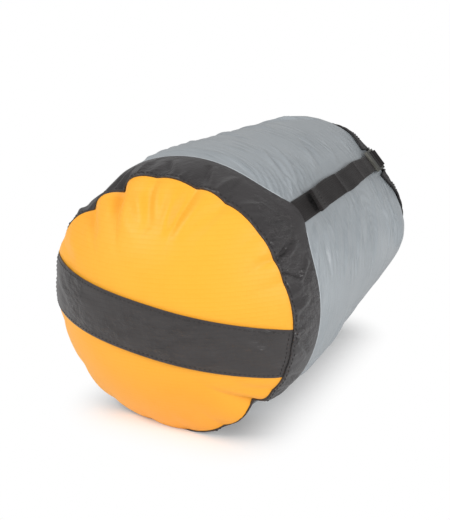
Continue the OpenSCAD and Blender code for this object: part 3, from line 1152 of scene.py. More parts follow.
@dataclass
class Tube(SubAssembly):
    """The silver-grey wall between the ring and the lid."""

    columns: int = 600
    wall_rows: int = 170
    arc_rows: int = 14
    tuck: float = 7.0
    cloth: float = 0.8
    still: float = 62.0
    side_seam_angle: float = 270.0
    seam_half: float = 1.3
    seed: int = 5
    jitter: tuple[float, ...] = (2, 6, 3, 6)
    crease_gain: float = 1.5
    crease_share: float = 0.75
    crease_bow: float = 4.0
    stray_count: int = 60
    ripple: float = 0.75
    ripple_pitch: float = 7.5
    ripple_slant: float = 0.85
    # Each calm stretch: its angle, its width and the share of the folds that is missing there.
    calm: Rows = ((335.0, 14.0, 0.6), (127.0, 9.0, 0.5))
    # Each crease: angle from the strap and place of both its ends, its height and its width.
    strap_creases: Rows = (
        (7, 78, 27, 48, 1.2, 3), (9, 93, 30, 72, 1.3, 3), (9, 116, 30, 84, -1.0, 3.5),
        (10, 148, 36, 100, 1.2, 3.5), (11, 165, 40, 112, -0.8, 4), (11, 184, 42, 130, 1.1, 4),
        (12, 206, 40, 160, -0.8, 4), (12, 225, 45, 184, 1.1, 4), (11, 247, 43, 232, 1.1, 3.5),
        (20, 258, 46, 254, 1.4, 3), (26, 268, 48, 266, 1.2, 2.6), (30, 278, 50, 276, 1.0, 2.6),
        (-7, 72, -18, 88, 1.1, 2.6), (-8, 87, -36, 136, 1.2, 3.5), (-12, 78, -28, 104, -1.0, 3),
        (-7, 100, -24, 120, 1.0, 3), (-20, 84, -40, 116, 0.8, 4), (-9, 137, -30, 176, 0.7, 4.5),
        (-9, 190, -26, 216, 0.5, 5), (-8, 240, -30, 256, 0.6, 4))

    def ripples(self, angle: Array, s: Array) -> Array:
        """Close, slanting ripples where the straps pull at the cloth.

        Args:
            angle: Angles from the top.
            s: Places along the axis.

        Returns:
            Their height in millimetres.
        """
        off = LAYOUT.from_strap(angle)
        run = np.radians(turn_from(angle, 0)) * LAYOUT.body_r
        slant = self.ripple_slant * (1 - smooth(s, 180, 262))
        wander = 1.1 * np.sin(run / 27 + s / 41) + 0.8 * np.sin(run / 13 - s / 29 + 1)
        wave = np.sin((slant * run + s) * 2 * math.pi / self.ripple_pitch + wander)
        uneven = 0.5 + 0.5 * np.sin(run / 19 + s / 33 + 2) * np.sin(s / 17 - run / 45)
        above = smooth(-off, 5, 10) * (1 - smooth(-off, 16, 34)) * (1 - smooth(s, 110, 170))
        below = smooth(off, 5, 10) * (1 - smooth(off, 26, 46))
        return self.ripple * wave * uneven * (above + below * (0.6 + 0.5 * smooth(s, 200, 250)))

    def folds(self) -> list[tuple[float, Fold]]:
        """Folds that fan out from the straps, alike but not the same at each, and stray ones all round.

        Returns:
            Each fold with the angle that its places are counted from.
        """
        rng = np.random.default_rng(self.seed)
        scale = math.radians(LAYOUT.body_r)
        found = []
        for number in STRAPS:
            for a0, s0, a1, s1, tall, wide in self.strap_creases:
                shift = np.zeros(4) if number == 1 else rng.normal(0, 1, 4) * self.jitter
                begin = (a0 + shift[0]) * scale, s0 + shift[1]
                end = (a1 + shift[2]) * scale, s1 + shift[3]
                fold = Fold(begin, end, self.crease_gain * tall, self.crease_share * wide, self.crease_bow)
                found.append((LAYOUT.strap_angle(number), fold))
        for _ in range(self.stray_count):
            middle, at = rng.uniform(0, 360), rng.uniform(70, 270)
            reach, lean = rng.uniform(8, 20), rng.uniform(-1.6, -0.4)
            begin, end = (-reach * scale, at - lean * reach), (reach * scale, at + lean * reach)
            found.append((middle, Fold(begin, end, rng.uniform(-0.6, 0.6), rng.uniform(1.8, 4.0))))
        return found

    def creases(self, angle: Array, s: Array) -> Array:
        """Height of the folds on the wall.

        Args:
            angle: Angles from the top.
            s: Places along the axis.

        Returns:
            Millimetres out of the wall, none of it under the straps and the lid.
        """
        scale = math.radians(LAYOUT.body_r)
        lift = self.ripples(angle, s)
        for middle, fold in self.folds():
            lift = lift + fold.lift(turn_from(angle, middle) * scale, s)
        strap = np.abs(LAYOUT.from_strap(angle))
        under_lid = hump(strap, 26, 4) * smooth(s, 254, 266)
        seam = hump(turn_from(angle, self.side_seam_angle), 1.6, 4)
        calm = 1 - sum(share * hump(turn_from(angle, at), wide) for at, wide, share in self.calm)
        return lift * calm * smooth(strap, 4.5, 8.0) * (1 - under_lid) + 0.7 * seam

    def place(self, angle: Array, s: Array) -> Array:
        """Radius of the wall with its folds.

        Args:
            angle: Angles from the top.
            s: Places along the axis, short of the shoulder.

        Returns:
            The radius.
        """
        edge = LAYOUT.ring_edge(angle)
        tucked = -1.2 * (1 - smooth(s, edge - 2.5, edge + 0.5))
        return LAYOUT.wall_r(angle, s) + self.creases(angle, s) * smooth(s, edge, edge + 8) + tucked

    def wall(self) -> Piece:
        """Wall and shoulder of the tube.

        Returns:
            The wall as a sheet.
        """
        angle = round_angles(self.columns)
        start = LAYOUT.ring_edge(angle) - self.tuck
        s = start + (LAYOUT.shoulder_s - start) * np.linspace(0, 1, self.wall_rows)[:, None] ** 1.1
        radius = self.place(angle, s)
        turn = np.linspace(math.pi / 2, 0, self.arc_rows + 1)[1:, None]
        dip = 2.0 * hump(LAYOUT.from_strap(angle), 9, 4) * np.sin(2 * turn)
        pleat = 0.6 * np.cos(turn) * np.sin(np.radians(angle * 44) + 2 * np.sin(np.radians(angle * 3)))
        pleat = pleat * (1 - hump(LAYOUT.from_strap(angle), 26, 4))
        arc_r = radius[-1:] - LAYOUT.shoulder_r * (1 - np.sin(turn)) - dip + pleat * 0.3
        arc_s = LAYOUT.shoulder_s + LAYOUT.shoulder_r * np.cos(turn) - dip + pleat * np.sin(turn)
        grid = LAYOUT.point(angle, np.concatenate([radius, arc_r]), np.concatenate([s, arc_s]))
        return shell("tube_grey", grid, self.cloth)

    def shorten(self, piece: Piece) -> None:
        """Bakes a piece on the wall in place."""
        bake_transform(piece)

    def seam_rows(self) -> Piece:
        """Two rows of stitches along the tube's lengthways seam.

        Returns:
            The stitches.
        """
        s = np.linspace(LAYOUT.ring_w + 3, LAYOUT.shoulder_s, 240)
        rows = []
        for angle in (self.side_seam_angle - self.seam_half, self.side_seam_angle + self.seam_half):
            angles = np.full_like(s, angle)
            rows.append((LAYOUT.point(angles, self.place(angles, s), s), LAYOUT.outward(angle)))
        return sewn("side_seam_stitches", rows)

    def build(self) -> None:
        """Makes the wall and the stitches of its seam, baked in place."""
        wall = self.dress(self.wall(), self.finishes.grey, Slot.BODY, "sack_tube", "side_seam_tape")
        self.dress(self.seam_rows(), self.finishes.thread, Slot.THREAD)
        for piece in self.pieces:
            self.shorten(piece)


@dataclass
class Handle(SubAssembly):
    """The dark band across the base, in two halves."""

    half_width: float = 22.0
    thick: float = 1.2
    gap: float = 0.4
    rise: float = 0.5
    slope: float = -0.131
    droop: float = -4.3
    droop_at: float = 90.0
    rows: int = 90
    columns: int = 34
    stitch_inset: float = 2.4
    crease_gain: float = 1.3
    # Each crease: X and distance from the middle line of both its ends, its height and its width.
    creases: Rows = (
        (62, 14, 98, 2, 0.7, 4), (70, -6, 100, -14, -0.8, 4), (84, 18, 102, -2, -0.9, 3.5),
        (20, 16, 52, 8, 0.4, 6), (-20, -16, 20, -8, 0.35, 6), (-96, 8, -70, -4, 0.7, 4),
        (-60, 10, -30, 14, -0.4, 6), (40, -18, 74, -12, 0.5, 5), (92, 8, 104, -16, 0.8, 3))

    def middle(self, x: Array) -> Array:
        """Height of the band's middle line above the axis."""
        return self.rise + self.slope * x + self.droop * (x / self.droop_at) ** 2

    def surface(self, t: Array, across: Array) -> Array:
        """Places on the band.

        Args:
            t: -1 at the left seam, 1 at the right seam.
            across: Distance above the middle line in millimetres.

        Returns:
            Points in the row frame.
        """
        side = np.where(t < 0, -1.0, 1.0)
        reach = np.full(np.broadcast(t, across).shape, 105.0)
        for _ in range(5):
            z = self.middle(side * reach) + across
            reach = np.sqrt(CROWN.seam(np.degrees(np.arctan2(side * reach, z)))[0] ** 2 - z**2)
        x = t * reach
        z = self.middle(x) + across
        edge = np.clip(np.abs(across) / self.half_width, 0, 1)
        puff = 0.5 * (1 - edge**6) + self.crease_gain * creased(self.creases, x, across) * (1 - edge**8)
        lift = (self.gap + self.thick + puff) * (1 - np.abs(t) ** 14) + 0.5
        s = CROWN.place(np.degrees(np.arctan2(x, z)), np.hypot(x, z)) - lift
        return np.stack([x * MM, LAYOUT.y(s), (LAYOUT.axis_h + z) * MM], axis=-1)

    def half(self, name: str, low: float, high: float) -> Piece:
        """One half of the band.

        Args:
            name: The piece's name.
            low: Where the half starts along the band.
            high: Where it ends.

        Returns:
            The half as a sheet.
        """
        t = np.linspace(low, high, self.rows)[None, :]
        across = np.linspace(-self.half_width, self.half_width, self.columns)[:, None]
        return shell(name, self.surface(t, across), self.thick, closed=False)

    def edge_rows(self, name: str, low: float, high: float) -> Piece:
        """Stitches along both edges of a half and across its end.

        Args:
            name: The piece's name.
            low: Where the half starts along the band.
            high: Where it ends.

        Returns:
            The stitches.
        """
        inset = self.half_width - self.stitch_inset
        t = np.linspace(low, high, 160) * 0.985
        span = np.linspace(-inset, inset, 160)
        lines = [self.surface(t, np.full_like(t, across)) for across in (inset, -inset)]
        lines.append(self.surface(np.full_like(span, (low + high) * 0.984), span))
        return sewn(name, [(line, np.array([0.0, -1.0, 0.0])) for line in lines])

    def build(self) -> None:
        """Makes both halves and the stitches along them, baked in place."""
        for word, side in (("left", -1.0), ("right", 1.0)):
            low, high = min(side, 0.0), max(side, 0.0)
            half = self.half("handle_" + word, low, high)
            band = self.dress(half, self.finishes.band, Slot.DARK, "base_handle")
            rows = self.edge_rows("handle_stitches_" + word, low, high)
            self.dress(rows, self.finishes.thread, Slot.THREAD, "handle_tacks")
            for piece in (band, rows):
                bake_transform(piece)


@dataclass
class Lid(SubAssembly):
    """The black cap over the mouth, gathered into its binding and drawn down at each strap."""

    crown: float = 22.0
    crown_power: float = 4.0
    top_angle: float = 65.0
    hug: float = 2.0
    skirt: float = 35.0
    skirt_least: float = 1.5
    skirt_width: float = 22.5
    far_skirt_width: float = 11.0
    slit: float = 5.0
    slit_edge: Span = (6.0, 8.5)
    binding_h: float = 8.0
    pleats: int = 78
    columns: int = 936
    crown_rows: int = 40
    skirt_rows: int = 24
    cloth: float = 1.0

    def skirt_len(self, angle: Array) -> Array:
        """How far the lid reaches down from its crown: furthest beside the locks, and slit under them.

        Args:
            angle: Angles from the top.

        Returns:
            The reach in millimetres.
        """
        off = np.abs(LAYOUT.from_strap(angle))
        near_first = np.abs(turn_from(angle, LAYOUT.first_strap)) < 45
        wide = np.where(near_first, self.skirt_width, self.far_skirt_width)
        drawn = np.maximum(self.skirt * hump(off, wide), self.skirt_least)
        return self.slit + (drawn - self.slit) * smooth(off, *self.slit_edge)

    def puff(self, angle: Array) -> Array:
        """Height of the gathers: rounded humps with sharp valleys, uneven in size.

        Args:
            angle: Angles from the top.

        Returns:
            The height in millimetres.
        """
        turn = np.radians(np.asarray(angle, float))
        wave = np.abs(np.sin(self.pleats / 2 * turn + 0.8 * np.sin(7 * turn) + 0.5 * np.sin(11 * turn + 2)))
        return 0.5 * wave**0.7 * (0.75 + 0.25 * np.sin(5 * turn + 1)) - 0.1

    def place(self, angle: Array, run: Array, lift: Array | float = 0.0) -> tuple[Array, Array]:
        """Places on the lid's skirt.

        Args:
            angle: Angles from the top.
            run: Distance down from the crown's edge, less than 0 on the crown.
            lift: Height above the skirt.

        Returns:
            Radius and place along the axis.
        """
        bend_r = LAYOUT.shoulder_r + self.hug
        top = math.radians(self.top_angle)
        turn = top - np.asarray(run, float) / bend_r
        bend = np.clip(turn, 0, top)
        up, down = np.maximum(turn - top, 0) * bend_r, np.maximum(-turn, 0) * bend_r
        s = LAYOUT.shoulder_s + (bend_r + lift) * np.sin(bend) - down + up * math.cos(top)
        wall = LAYOUT.wall_r(angle, np.minimum(s, LAYOUT.shoulder_s))
        return wall + self.hug + lift - (bend_r + lift) * (1 - np.cos(bend)) - up * math.sin(top), s

    def cap(self) -> Piece:
        """Crowned cap with radial gathers.

        Returns:
            The cap as a sheet.
        """
        angle = round_angles(self.columns)
        q = np.sin(np.linspace(POLE, math.pi / 2, self.crown_rows))[:, None]
        edge_r, edge_s = self.place(angle, 0.0)
        gather = self.puff(angle) * smooth(q, 0.55, 1.0)
        sag = 0.8 * np.sin(np.radians(3 * angle)) * q**2 * (1 - q**4)
        top = math.radians(self.top_angle)
        radius = edge_r * q + gather * math.cos(top)
        s = edge_s + self.crown * (1 - q**self.crown_power) + gather * math.sin(top) - sag
        down = self.skirt_len(angle) * np.linspace(0, 1, self.skirt_rows)[1:, None]
        skirt_r, skirt_s = self.place(angle, down, self.puff(angle))
        grid = LAYOUT.point(angle, np.concatenate([radius, skirt_r]), np.concatenate([s, skirt_s]))
        return shell("lid_cap", grid[:, ::-1], self.cloth, capped=True)

    def band(self) -> Piece:
        """Gathered binding round the lid's edge.

        Returns:
            The binding as a sheet.
        """
        angle = round_angles(self.columns)
        t = np.linspace(0, 1, 10)[:, None]
        lift = self.puff(angle) + 0.5 + 0.4 * np.sin(math.pi * t) ** 0.6
        run = self.skirt_len(angle) + 0.4 - self.binding_h * t
        return shell("lid_band", LAYOUT.point(angle, *self.place(angle, run, lift)), 0.6)

    def band_rows(self) -> Piece:
        """Stitches along the binding.

        Returns:
            The stitches.
        """
        angle = np.linspace(0, 360, 1441)
        run = self.skirt_len(angle) - self.binding_h + 1.6
        line = LAYOUT.point(angle, *self.place(angle, run, self.puff(angle) + 1.0))
        return sewn("lid_stitches", [(line, LAYOUT.outward(angle))], Stitch.FINE)

    def build(self) -> None:
        """Makes the cap, its binding and their stitches."""
        cap = self.dress(self.cap(), self.finishes.black, Slot.LID, "lid_panel")
        band = self.dress(self.band(), self.finishes.black, Slot.WEBBING, "lid_binding")
        self.dress(self.band_rows(), self.finishes.thread, Slot.THREAD)
        for piece in self.pieces:
            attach(piece, "lid")


@dataclass
class Strap(SubAssembly):
    """One compression strap with its ladder lock, the tab that ties the lock to the lid, and its tail."""

    number: int
    tube: Tube
    lid: Lid
    width: float = 20.0
    thick: float = 1.5
    layer: float = 0.3
    lock_s: float = 280.0
    lock_r: float = 110.611
    lock_bend: float = 2.15
    lock_share: float = 0.87
    lock_round: float = 0.55
    hinge_bend: float = 3.05
    bar_back: float = 7.9
    run_end: float = 263.0
    lead_start: float = 226.0
    loop_start: float = 246.0
    tail_start: float = 262.0
    tail_bend: float = 205.0
    tail_end: float = 84.0
    hem: float = 14.0
    hem_spots: Span = (9.0, 12.0)
    hem_slant: float = 0.15
    root_backs: Span = (2.0, 3.6)
    hinge_reach: Span = (6.0, -2.0)
    row_half: float = 8.6
    tack_half: float = 8.8
    slack: tuple[float, ...] = (1.0, 0.35, 0.35, 0.35)
    eases: tuple[float, ...] = (1.4, 3.2, 0.8, 3.5)
    # Each kink: its place, how far that moves from strap to strap, its height and its length.
    kinks: Rows = ((150.0, 3.0, 2.4, 8.0), (206.0, -4.0, 1.3, 6.0))
    # Places along and out from the lock's hinge, where the webbing leaves over the bar and under the lip.
    lip_path: Rows = ((-10.2, 2.1), (-11.8, 1.8), (-13.2, 1.0), (-14.6, 0.15), (-16.2, -0.3))

    def __post_init__(self) -> None:
        """Works out where the strap lies and how deep its lock sits in the wall."""
        self.angle = LAYOUT.strap_angle(self.number)
        self.side = LAYOUT.sideways(self.angle)
        self.out = LAYOUT.outward(self.angle)
        self.sink = min(0.0, float(LAYOUT.swell_at(self.angle, self.lock_s)))
        self.bar_r = self.lock_r + self.sink
        self.loose = self.slack[self.number - 1]
        self.ease = self.eases[self.number - 1]

    def name(self, word: str) -> str:
        """Name of a piece of this strap."""
        return f"{word}_{self.number}"

    def line(self, s: Array, lift: Array | float) -> Array:
        """Points in the strap's plane, at a height above the wall."""
        angle = np.full_like(s, self.angle)
        return LAYOUT.point(angle, LAYOUT.wall_r(angle, s) + lift, s)

    def spot(self, s: float, lift: float = 0.0) -> Point:
        """Point at a height above the wall under the strap."""
        return tuple(self.line(np.array([s]), lift)[0])

    def taper(self, s: Array) -> Array:
        """Share of the webbing's full width, since the lock draws it together."""
        return 1 - (1 - self.lock_share) * smooth(s, 180, 256)

    def ribbon(self, word: str, centre: Array) -> Piece:
        """A length of webbing along a line.

        Args:
            word: What the piece is called.
            centre: Points of its middle line.

        Returns:
            The webbing.
        """
        parts = MeshParts()
        side = self.side * self.taper(centre[:, 1] / MM + LAYOUT.middle_s)[:, None]
        sweep(parts, centre, side, webbing_section(self.width, self.thick))
        return parts.object(self.name(word))

    def cross_rows(self, word: str, spots: list[Array], up: Array, kind: Stitch, run: Array) -> Piece:
        """Rows of stitches across the webbing, as far as the run to both sides of each spot."""
        across = np.linspace(-1, 1, 40)[:, None] * run * MM
        return sewn(self.name(word), [(spot + across, up) for spot in spots], kind)

    def run(self) -> Piece:
        """Webbing from the ring's corner to the lock.

        Returns:
            The webbing.
        """
        s = np.linspace(LAYOUT.ring_edge(self.angle) - 5, self.run_end, 90)
        root = 0.5 * (1 - smooth(s, 56, 66))
        return self.ribbon("strap_run", self.line(s, self.layer + self.thick / 2 - root))

    def root_rows(self) -> Piece:
        """Stitches that hold the strap's root in the ring's seam.

        Returns:
            The stitches.
        """
        edge = LAYOUT.ring_edge(self.angle)
        spots = [self.spot(edge - back, self.thick + 0.2) for back in self.root_backs]
        return self.cross_rows("root_stitches", spots, self.out, Stitch.CROSS, self.row_half * self.side)

    def lead(self) -> Piece:
        """Webbing just before the lock."""
        s = np.linspace(self.lead_start, self.run_end - 1, 60)
        return self.ribbon("strap_lead", self.line(s, self.layer + self.thick / 2 - 0.12))

    def loop(self) -> Piece:
        """Webbing through the lock: in below, round the middle bar and out under the lip.

        Returns:
            The loop.
        """
        entry = self.line(np.linspace(self.loop_start, 265, 14), self.layer + self.thick / 2 + 0.06)
        bend, turns = self.lock_bend, np.radians(np.linspace(-90, 90, 13))
        hooks = [(-13.0, -bend), (-10.0, -bend)]
        hooks += [(bend * math.cos(a) - self.bar_back, bend * math.sin(a)) for a in turns]
        along, out = np.array([*hooks, *self.lip_path]).T
        bar = LAYOUT.point(self.angle, self.bar_r + out, self.lock_s + along)
        leave = self.line(np.linspace(261.5, self.loop_start, 14), 2 * self.layer + 1.5 * self.thick)
        return self.ribbon("strap_loop", np.concatenate([entry, bar, leave]))

    def tail_lift(self, s: Array) -> Array:
        """Height of the tail's middle above the wall.

        Args:
            s: Places along the axis.

        Returns:
            The height, with kinks along the tail and its end lifted.
        """
        phase = 0.9 * (self.number - 1)
        kink = sum(tall * np.exp(-np.abs(s - at - shift * phase) / long)
                   for at, shift, tall, long in self.kinks)
        wave = 0.45 * (1 + np.sin(s / 9.0 + phase))
        free = self.loose * smooth(self.tail_start - 4 - s, 0, 25)
        eased = self.ease * smooth(self.tail_start - 4 - s, 0, 60)
        end = 3.6 * hump(s - self.tail_end, 16)
        return 2 * self.layer + 1.5 * self.thick + (kink + wave + end) * free + eased

    def tail(self) -> Piece:
        """Free tail lying back over the strap, with a folded hem and a slanted end.

        Returns:
            The tail.
        """
        parts = MeshParts()
        s = np.linspace(self.tail_end, self.tail_start, 160)
        hem = np.linspace(self.tail_end - 0.4, self.tail_end + self.hem, 16)
        for at, extra, narrow in ((s, 0.0, 0.0), (hem, self.thick + 0.05, 0.3)):
            sway = 0.8 * np.sin(at / 13 + self.number) * smooth(self.tail_start - at, 5, 40)
            centre = self.line(at, self.tail_lift(at) + extra) + sway[:, None] * self.side * MM
            side = self.side * self.taper(at)[:, None]
            sweep(parts, centre, side, webbing_section(self.width - narrow, self.thick))
        for points in parts.vertices:
            end = hump(points[:, 1] - LAYOUT.y(self.tail_end), 0.02)
            points[:, 1] -= 0.2 * ((points - [0, 0, LAYOUT.axis_h * MM]) @ self.side) * end
        return parts.object(self.name("tail_web"))

    def hem_rows(self) -> Piece:
        """Stitches across the tail's hem.

        Returns:
            The stitches.
        """
        places = [self.tail_end + spot for spot in self.hem_spots]
        spots = [self.spot(s, float(self.tail_lift(s)) + 1.5 * self.thick + 0.1) for s in places]
        slant = self.row_half * (self.side - np.array([0, self.hem_slant, 0]))
        return self.cross_rows("tail_stitches", spots, self.out, Stitch.CROSS, slant)

    def tab(self) -> Piece:
        """Webbing loop from the lid round the lock's hinge bar.

        Returns:
            The tab.
        """
        outer = [self.lid.place(self.angle, run, 1.5 * self.thick + 1.2) for run in (-9, -5, -1, 3)]
        bar = [(self.bar_r + self.hinge_bend * math.cos(a), self.lock_s - self.hinge_bend * math.sin(a))
               for a in np.radians(np.linspace(-10, 190, 15))]
        inner = [self.lid.place(self.angle, run, 0.5 * self.thick + 1.1) for run in (2, -1, -5, -9)]
        spots = np.array([*outer, *bar, *inner], float)
        run = run_along(spots)
        fine = np.linspace(0, run[-1], 70)
        radius, s = (np.interp(fine, run, spots[:, i]) for i in (0, 1))
        return self.ribbon("tab_web", LAYOUT.point(np.full_like(fine, self.angle), radius, s))

    def tab_rows(self) -> Piece:
        """Bar tack on the tab.

        Returns:
            The stitches.
        """
        places = [self.lid.place(self.angle, run, 2 * self.thick + 1.3) for run in np.arange(-7.0, -4.0, 0.8)]
        spots = [LAYOUT.point(self.angle, *place) for place in places]
        up = np.array([0.0, 1.0, 0.0])
        return self.cross_rows("tab_stitches", spots, up, Stitch.TACK, self.tack_half * self.side)

    def buckle(self) -> Piece:
        """Ladder lock with rounded edges, drawn into the wall with the webbing.

        Returns:
            The lock.
        """
        made = self.rounded(self.name("lock_frame"), self.name("ladder_lock"), self.lock_round)
        axis, sunk = Vector((0, 0, LAYOUT.axis_h * MM)), Vector(self.out * self.sink * MM)
        narrow = Matrix.Scale(self.lock_share, 4, Vector(self.side))
        made.data.transform(Matrix.Translation(axis + sunk) @ narrow @ Matrix.Translation(-axis))
        return made

    def build(self) -> None:
        """Makes the strap's pieces; the root and tab stitches and the lock are fixed to what holds them, the
        webbing and the hem's stitches are baked in place.
        """
        webbing, thread, lock = self.finishes.webbing, self.finishes.thread, self.name("lock")
        self.tube.shorten(self.dress(self.run(), webbing, Slot.WEBBING, self.name("strap")))
        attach(self.dress(self.root_rows(), thread, Slot.THREAD, "strap_tacks"), "sack")
        lead = self.dress(self.lead(), webbing, Slot.WEBBING)
        self.spot(self.lead_start)
        self.spot(self.loop_start)
        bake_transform(lead)
        loop = self.dress(self.loop(), webbing, Slot.WEBBING, self.name("strap_turn"))
        self.spot(self.loop_start)
        self.spot(self.tail_start)
        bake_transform(loop)
        for piece in (self.dress(self.tail(), webbing, Slot.WEBBING, self.name("strap_tail")),
                      self.dress(self.hem_rows(), thread, Slot.THREAD)):
            self.name("tail")
            self.spot(self.tail_start)
            self.spot(self.tail_bend)
            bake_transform(piece)
        tab = self.dress(self.tab(), webbing, Slot.WEBBING, self.name("lock_tab"))
        start, end = (self.spot(self.lock_s + reach) for reach in self.hinge_reach)
        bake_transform(tab)
        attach(self.dress(self.tab_rows(), thread, Slot.THREAD, "tab_tacks"), "lid")
        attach(self.dress(self.buckle(), self.finishes.lock, Slot.LOCK, self.name("ladder_lock")), lock)


@dataclass
class Closure(SubAssembly):
    """The roll-top mouth under the lid: gathered collar, bent roll, clip and its webbing tabs."""

    loop_r: float = 62.0
    roll_w: float = 18.0
    roll_h: float = 13.0
    roll_power: float = 3.2
    half_angle: float = 40.0
    clip_z: float = 47.49
    clip_mid: float = 4.8
    tab_w: float = 15.0
    tab_thick: float = 1.5
    socket_reach: Span = (-41.0, -26.0)
    plug_reach: Span = (11.0, 41.0)
    plug_give: Span = (0.039, 0.012)
    plug_h: float = 0.15
    cloth: float = 0.8

    def collar(self) -> Piece:
        """Cloth gathered from the mouth to the roll.

        Returns:
            The collar as a sheet.
        """
        angle = round_angles(480)
        q = np.linspace(POLE, 1, 40)[:, None]
        turn = np.radians(angle)
        pleat = np.sin(30 * turn + 1.5 * np.sin(4 * turn)) * smooth(q, 0.12, 0.8)
        rim = LAYOUT.wall_r(angle, LAYOUT.shoulder_s) - LAYOUT.shoulder_r + 0.3
        s = LAYOUT.mouth_s - 0.9 + 0.55 * pleat - 0.6 * (1 - q) ** 2
        return shell("mouth_gather", LAYOUT.point(angle, rim * q, s)[:, ::-1], self.cloth, capped=True)

    def roll_section(self, grow: float, twist: float) -> tuple[Array, Array]:
        """Section of the roll with the steps of its layers.

        Args:
            grow: Millimetres added all round.
            twist: Turn of the layers' steps.

        Returns:
            Offsets across the roll and along the sack.
        """
        turn = np.linspace(0, -2 * math.pi, 40, endpoint=False)
        grow = grow - 0.4 + 0.5 * ((turn + twist) / math.pi % 1)
        c, s = np.cos(turn), np.sin(turn)
        size = (np.abs(c) ** self.roll_power + np.abs(s) ** self.roll_power) ** (-1 / self.roll_power)
        return (self.roll_w / 2 + grow) * size * c, (self.roll_h / 2 + grow) * size * s

    def roll(self) -> Piece:
        """Rolled mouth bent into a loop, with soft kinks and layered ends.

        Returns:
            The roll.
        """
        span = np.linspace(self.half_angle, 360 - self.half_angle, 150)
        steps = [(grow, 0.7 * (i % 2)) for i, grow in enumerate(np.linspace(-6, -0.5, 6))]
        rows = [(span[0] + inset, grow) for grow, inset in steps]
        rows += [(a, 0.25 * math.sin(a / 3.1) * math.sin(a / 7.7)) for a in span]
        rows += [(span[-1] - inset, grow) for grow, inset in reversed(steps)]
        grid = []
        for at, grow in rows:
            across, along = self.roll_section(grow, math.radians(at * 0.3))
            s = LAYOUT.mouth_s + self.roll_h / 2 + 0.1 + along
            grid.append(LAYOUT.point(np.full_like(across, at), self.loop_r + across, s))
        parts = MeshParts()
        parts.add(np.concatenate(grid), tube_faces(len(rows), len(grid[0])))
        return parts.object("mouth_roll")

    def tab(self, name: str, reach: Span) -> Piece:
        """Webbing from a half of the clip into the end of the roll.

        Args:
            name: The piece's name.
            reach: Where it starts and ends along X.

        Returns:
            The tab.
        """
        x = np.linspace(*reach, 24)
        y = LAYOUT.y(LAYOUT.mouth_s + self.clip_mid + 0.2 * np.sin(x / 4))
        line = np.stack([x * MM, y, np.full_like(x, (LAYOUT.axis_h + self.clip_z) * MM)], axis=-1)
        parts = MeshParts()
        sweep(parts, line, np.array([0.0, 0.0, -1.0]), webbing_section(self.tab_w, self.tab_thick))
        return parts.object(name)

    def build(self) -> None:
        """Makes the mouth's pieces; the plug slides out of its socket."""
        webbing, clip = self.finishes.webbing, self.finishes.clip
        collar = self.dress(self.collar(), self.finishes.grey, Slot.BODY, "mouth_collar")
        self.dress(self.roll(), self.finishes.grey, Slot.BODY, "closure_roll")
        self.dress(self.rounded("socket_shell", "clip_socket", 0.8), clip, Slot.CLIP, "clip_socket")
        self.dress(self.tab("socket_web", self.socket_reach), webbing, Slot.WEBBING, "socket_tab")
        for piece in self.pieces:
            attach(piece, "closure")
        plug = self.dress(self.rounded("plug_shell", "clip_plug", 0.7), clip, Slot.CLIP, "clip_plug")
        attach(plug, "plug")
        loose = self.dress(self.tab("plug_web", self.plug_reach), webbing, Slot.WEBBING, "plug_tab")
        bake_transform(loose)
        self.paint(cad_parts["roll_stiffener"], clip)


@dataclass(frozen=True)
class Lamp:
    """A soft studio panel that looks at the sack."""

    name: str
    place: Point
    watts: float
    size: float = 0.8
    target: Point = (0, 0, 0.1)

    def build(self) -> None:
        """Adds the panel to the scene."""
        data = bpy.data.lights.new(self.name, "AREA")
        data.shape = "DISK"
        data.size = self.size
        data.energy = self.watts
        add_object(self.name, data, self.place, Vector(self.target) - Vector(self.place))


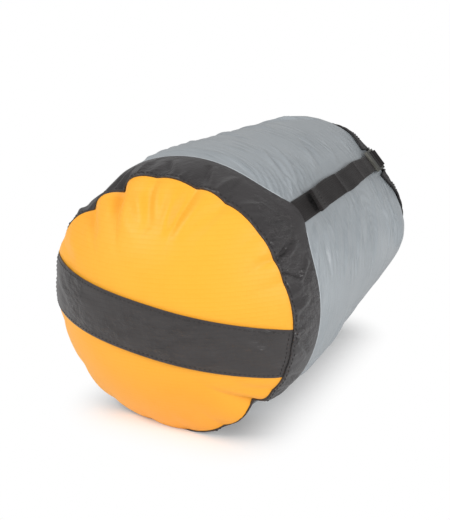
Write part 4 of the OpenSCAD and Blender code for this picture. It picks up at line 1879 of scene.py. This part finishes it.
@dataclass(frozen=True)
class Studio:
    """Camera, floor and light."""

    camera_at: Point = (0.3734, -0.7857, 0.4158)
    azimuth: float = 26.213
    elevation: float = 19.51
    focal_px: float = 1000.0
    sensor: float = 36.0
    floor_size: float = 8.0
    sky: float = 0.44
    lamps: tuple[Lamp, ...] = (Lamp("key", (-0.9, -1.2, 1.3), 18.0), Lamp("fill", (1.4, -0.7, 0.8), 14.5))

    def camera(self) -> None:
        """Places the camera at the photograph's view."""
        data = bpy.data.cameras.new("camera")
        data.sensor_width = self.sensor
        data.lens = self.focal_px * self.sensor / IMAGE_LONG_SIDE
        turn, rise = math.radians(self.azimuth), math.radians(self.elevation)
        look = (-math.sin(turn) * math.cos(rise), math.cos(turn) * math.cos(rise), -math.sin(rise))
        bpy.context.scene.camera = add_object("camera", data, self.camera_at, Vector(look))

    def floor(self) -> None:
        """Lays the pale floor."""
        half = self.floor_size / 2
        corners = [(-half, -half, 0), (half, -half, 0), (half, half, 0), (-half, half, 0)]
        mesh = bpy.data.meshes.new("floor")
        mesh.from_pydata(corners, [], [(0, 1, 2, 3)])
        mesh.materials.append(FloorFinish().build())
        add_object("floor", mesh)

    def world(self) -> None:
        """Lights the sack evenly and shows white behind it."""
        world = bpy.data.worlds.new("studio")
        world.use_nodes = True
        bpy.context.scene.world = world
        tree = world.node_tree
        path = tree.nodes.new("ShaderNodeLightPath")
        level = tree.nodes.new("ShaderNodeMapRange")
        level.inputs["To Min"].default_value = self.sky
        level.inputs["To Max"].default_value = 1.0
        tree.links.new(path.outputs["Is Camera Ray"], level.inputs["Value"])
        tree.links.new(level.outputs[0], tree.nodes["Background"].inputs["Strength"])
        tree.nodes["Background"].inputs["Color"].default_value = (1, 1, 1, 1)

    def build(self) -> None:
        """Sets up the whole studio."""
        bpy.context.scene.view_settings.view_transform = "Standard"
        self.camera()
        self.floor()
        self.world()
        for lamp in self.lamps:
            lamp.build()


def main() -> None:
    """Builds the studio and every sub-assembly."""
    logging.basicConfig(level=logging.INFO, format="%(message)s")
    Studio().build()
    finishes = Wardrobe()
    tube, lid = Tube(finishes), Lid(finishes)
    assemblies: list[SubAssembly] = [Base(finishes), tube, Handle(finishes)]
    assemblies += [Strap(finishes, number, tube, lid) for number in STRAPS]
    assemblies += [lid, Closure(finishes)]
    for assembly in assemblies:
        assembly.build()
        for piece in assembly.pieces:
            log.info("%s: %s, %d faces", type(assembly).__name__, piece.name, len(piece.data.polygons))


if __name__ == "__main__":
    main()
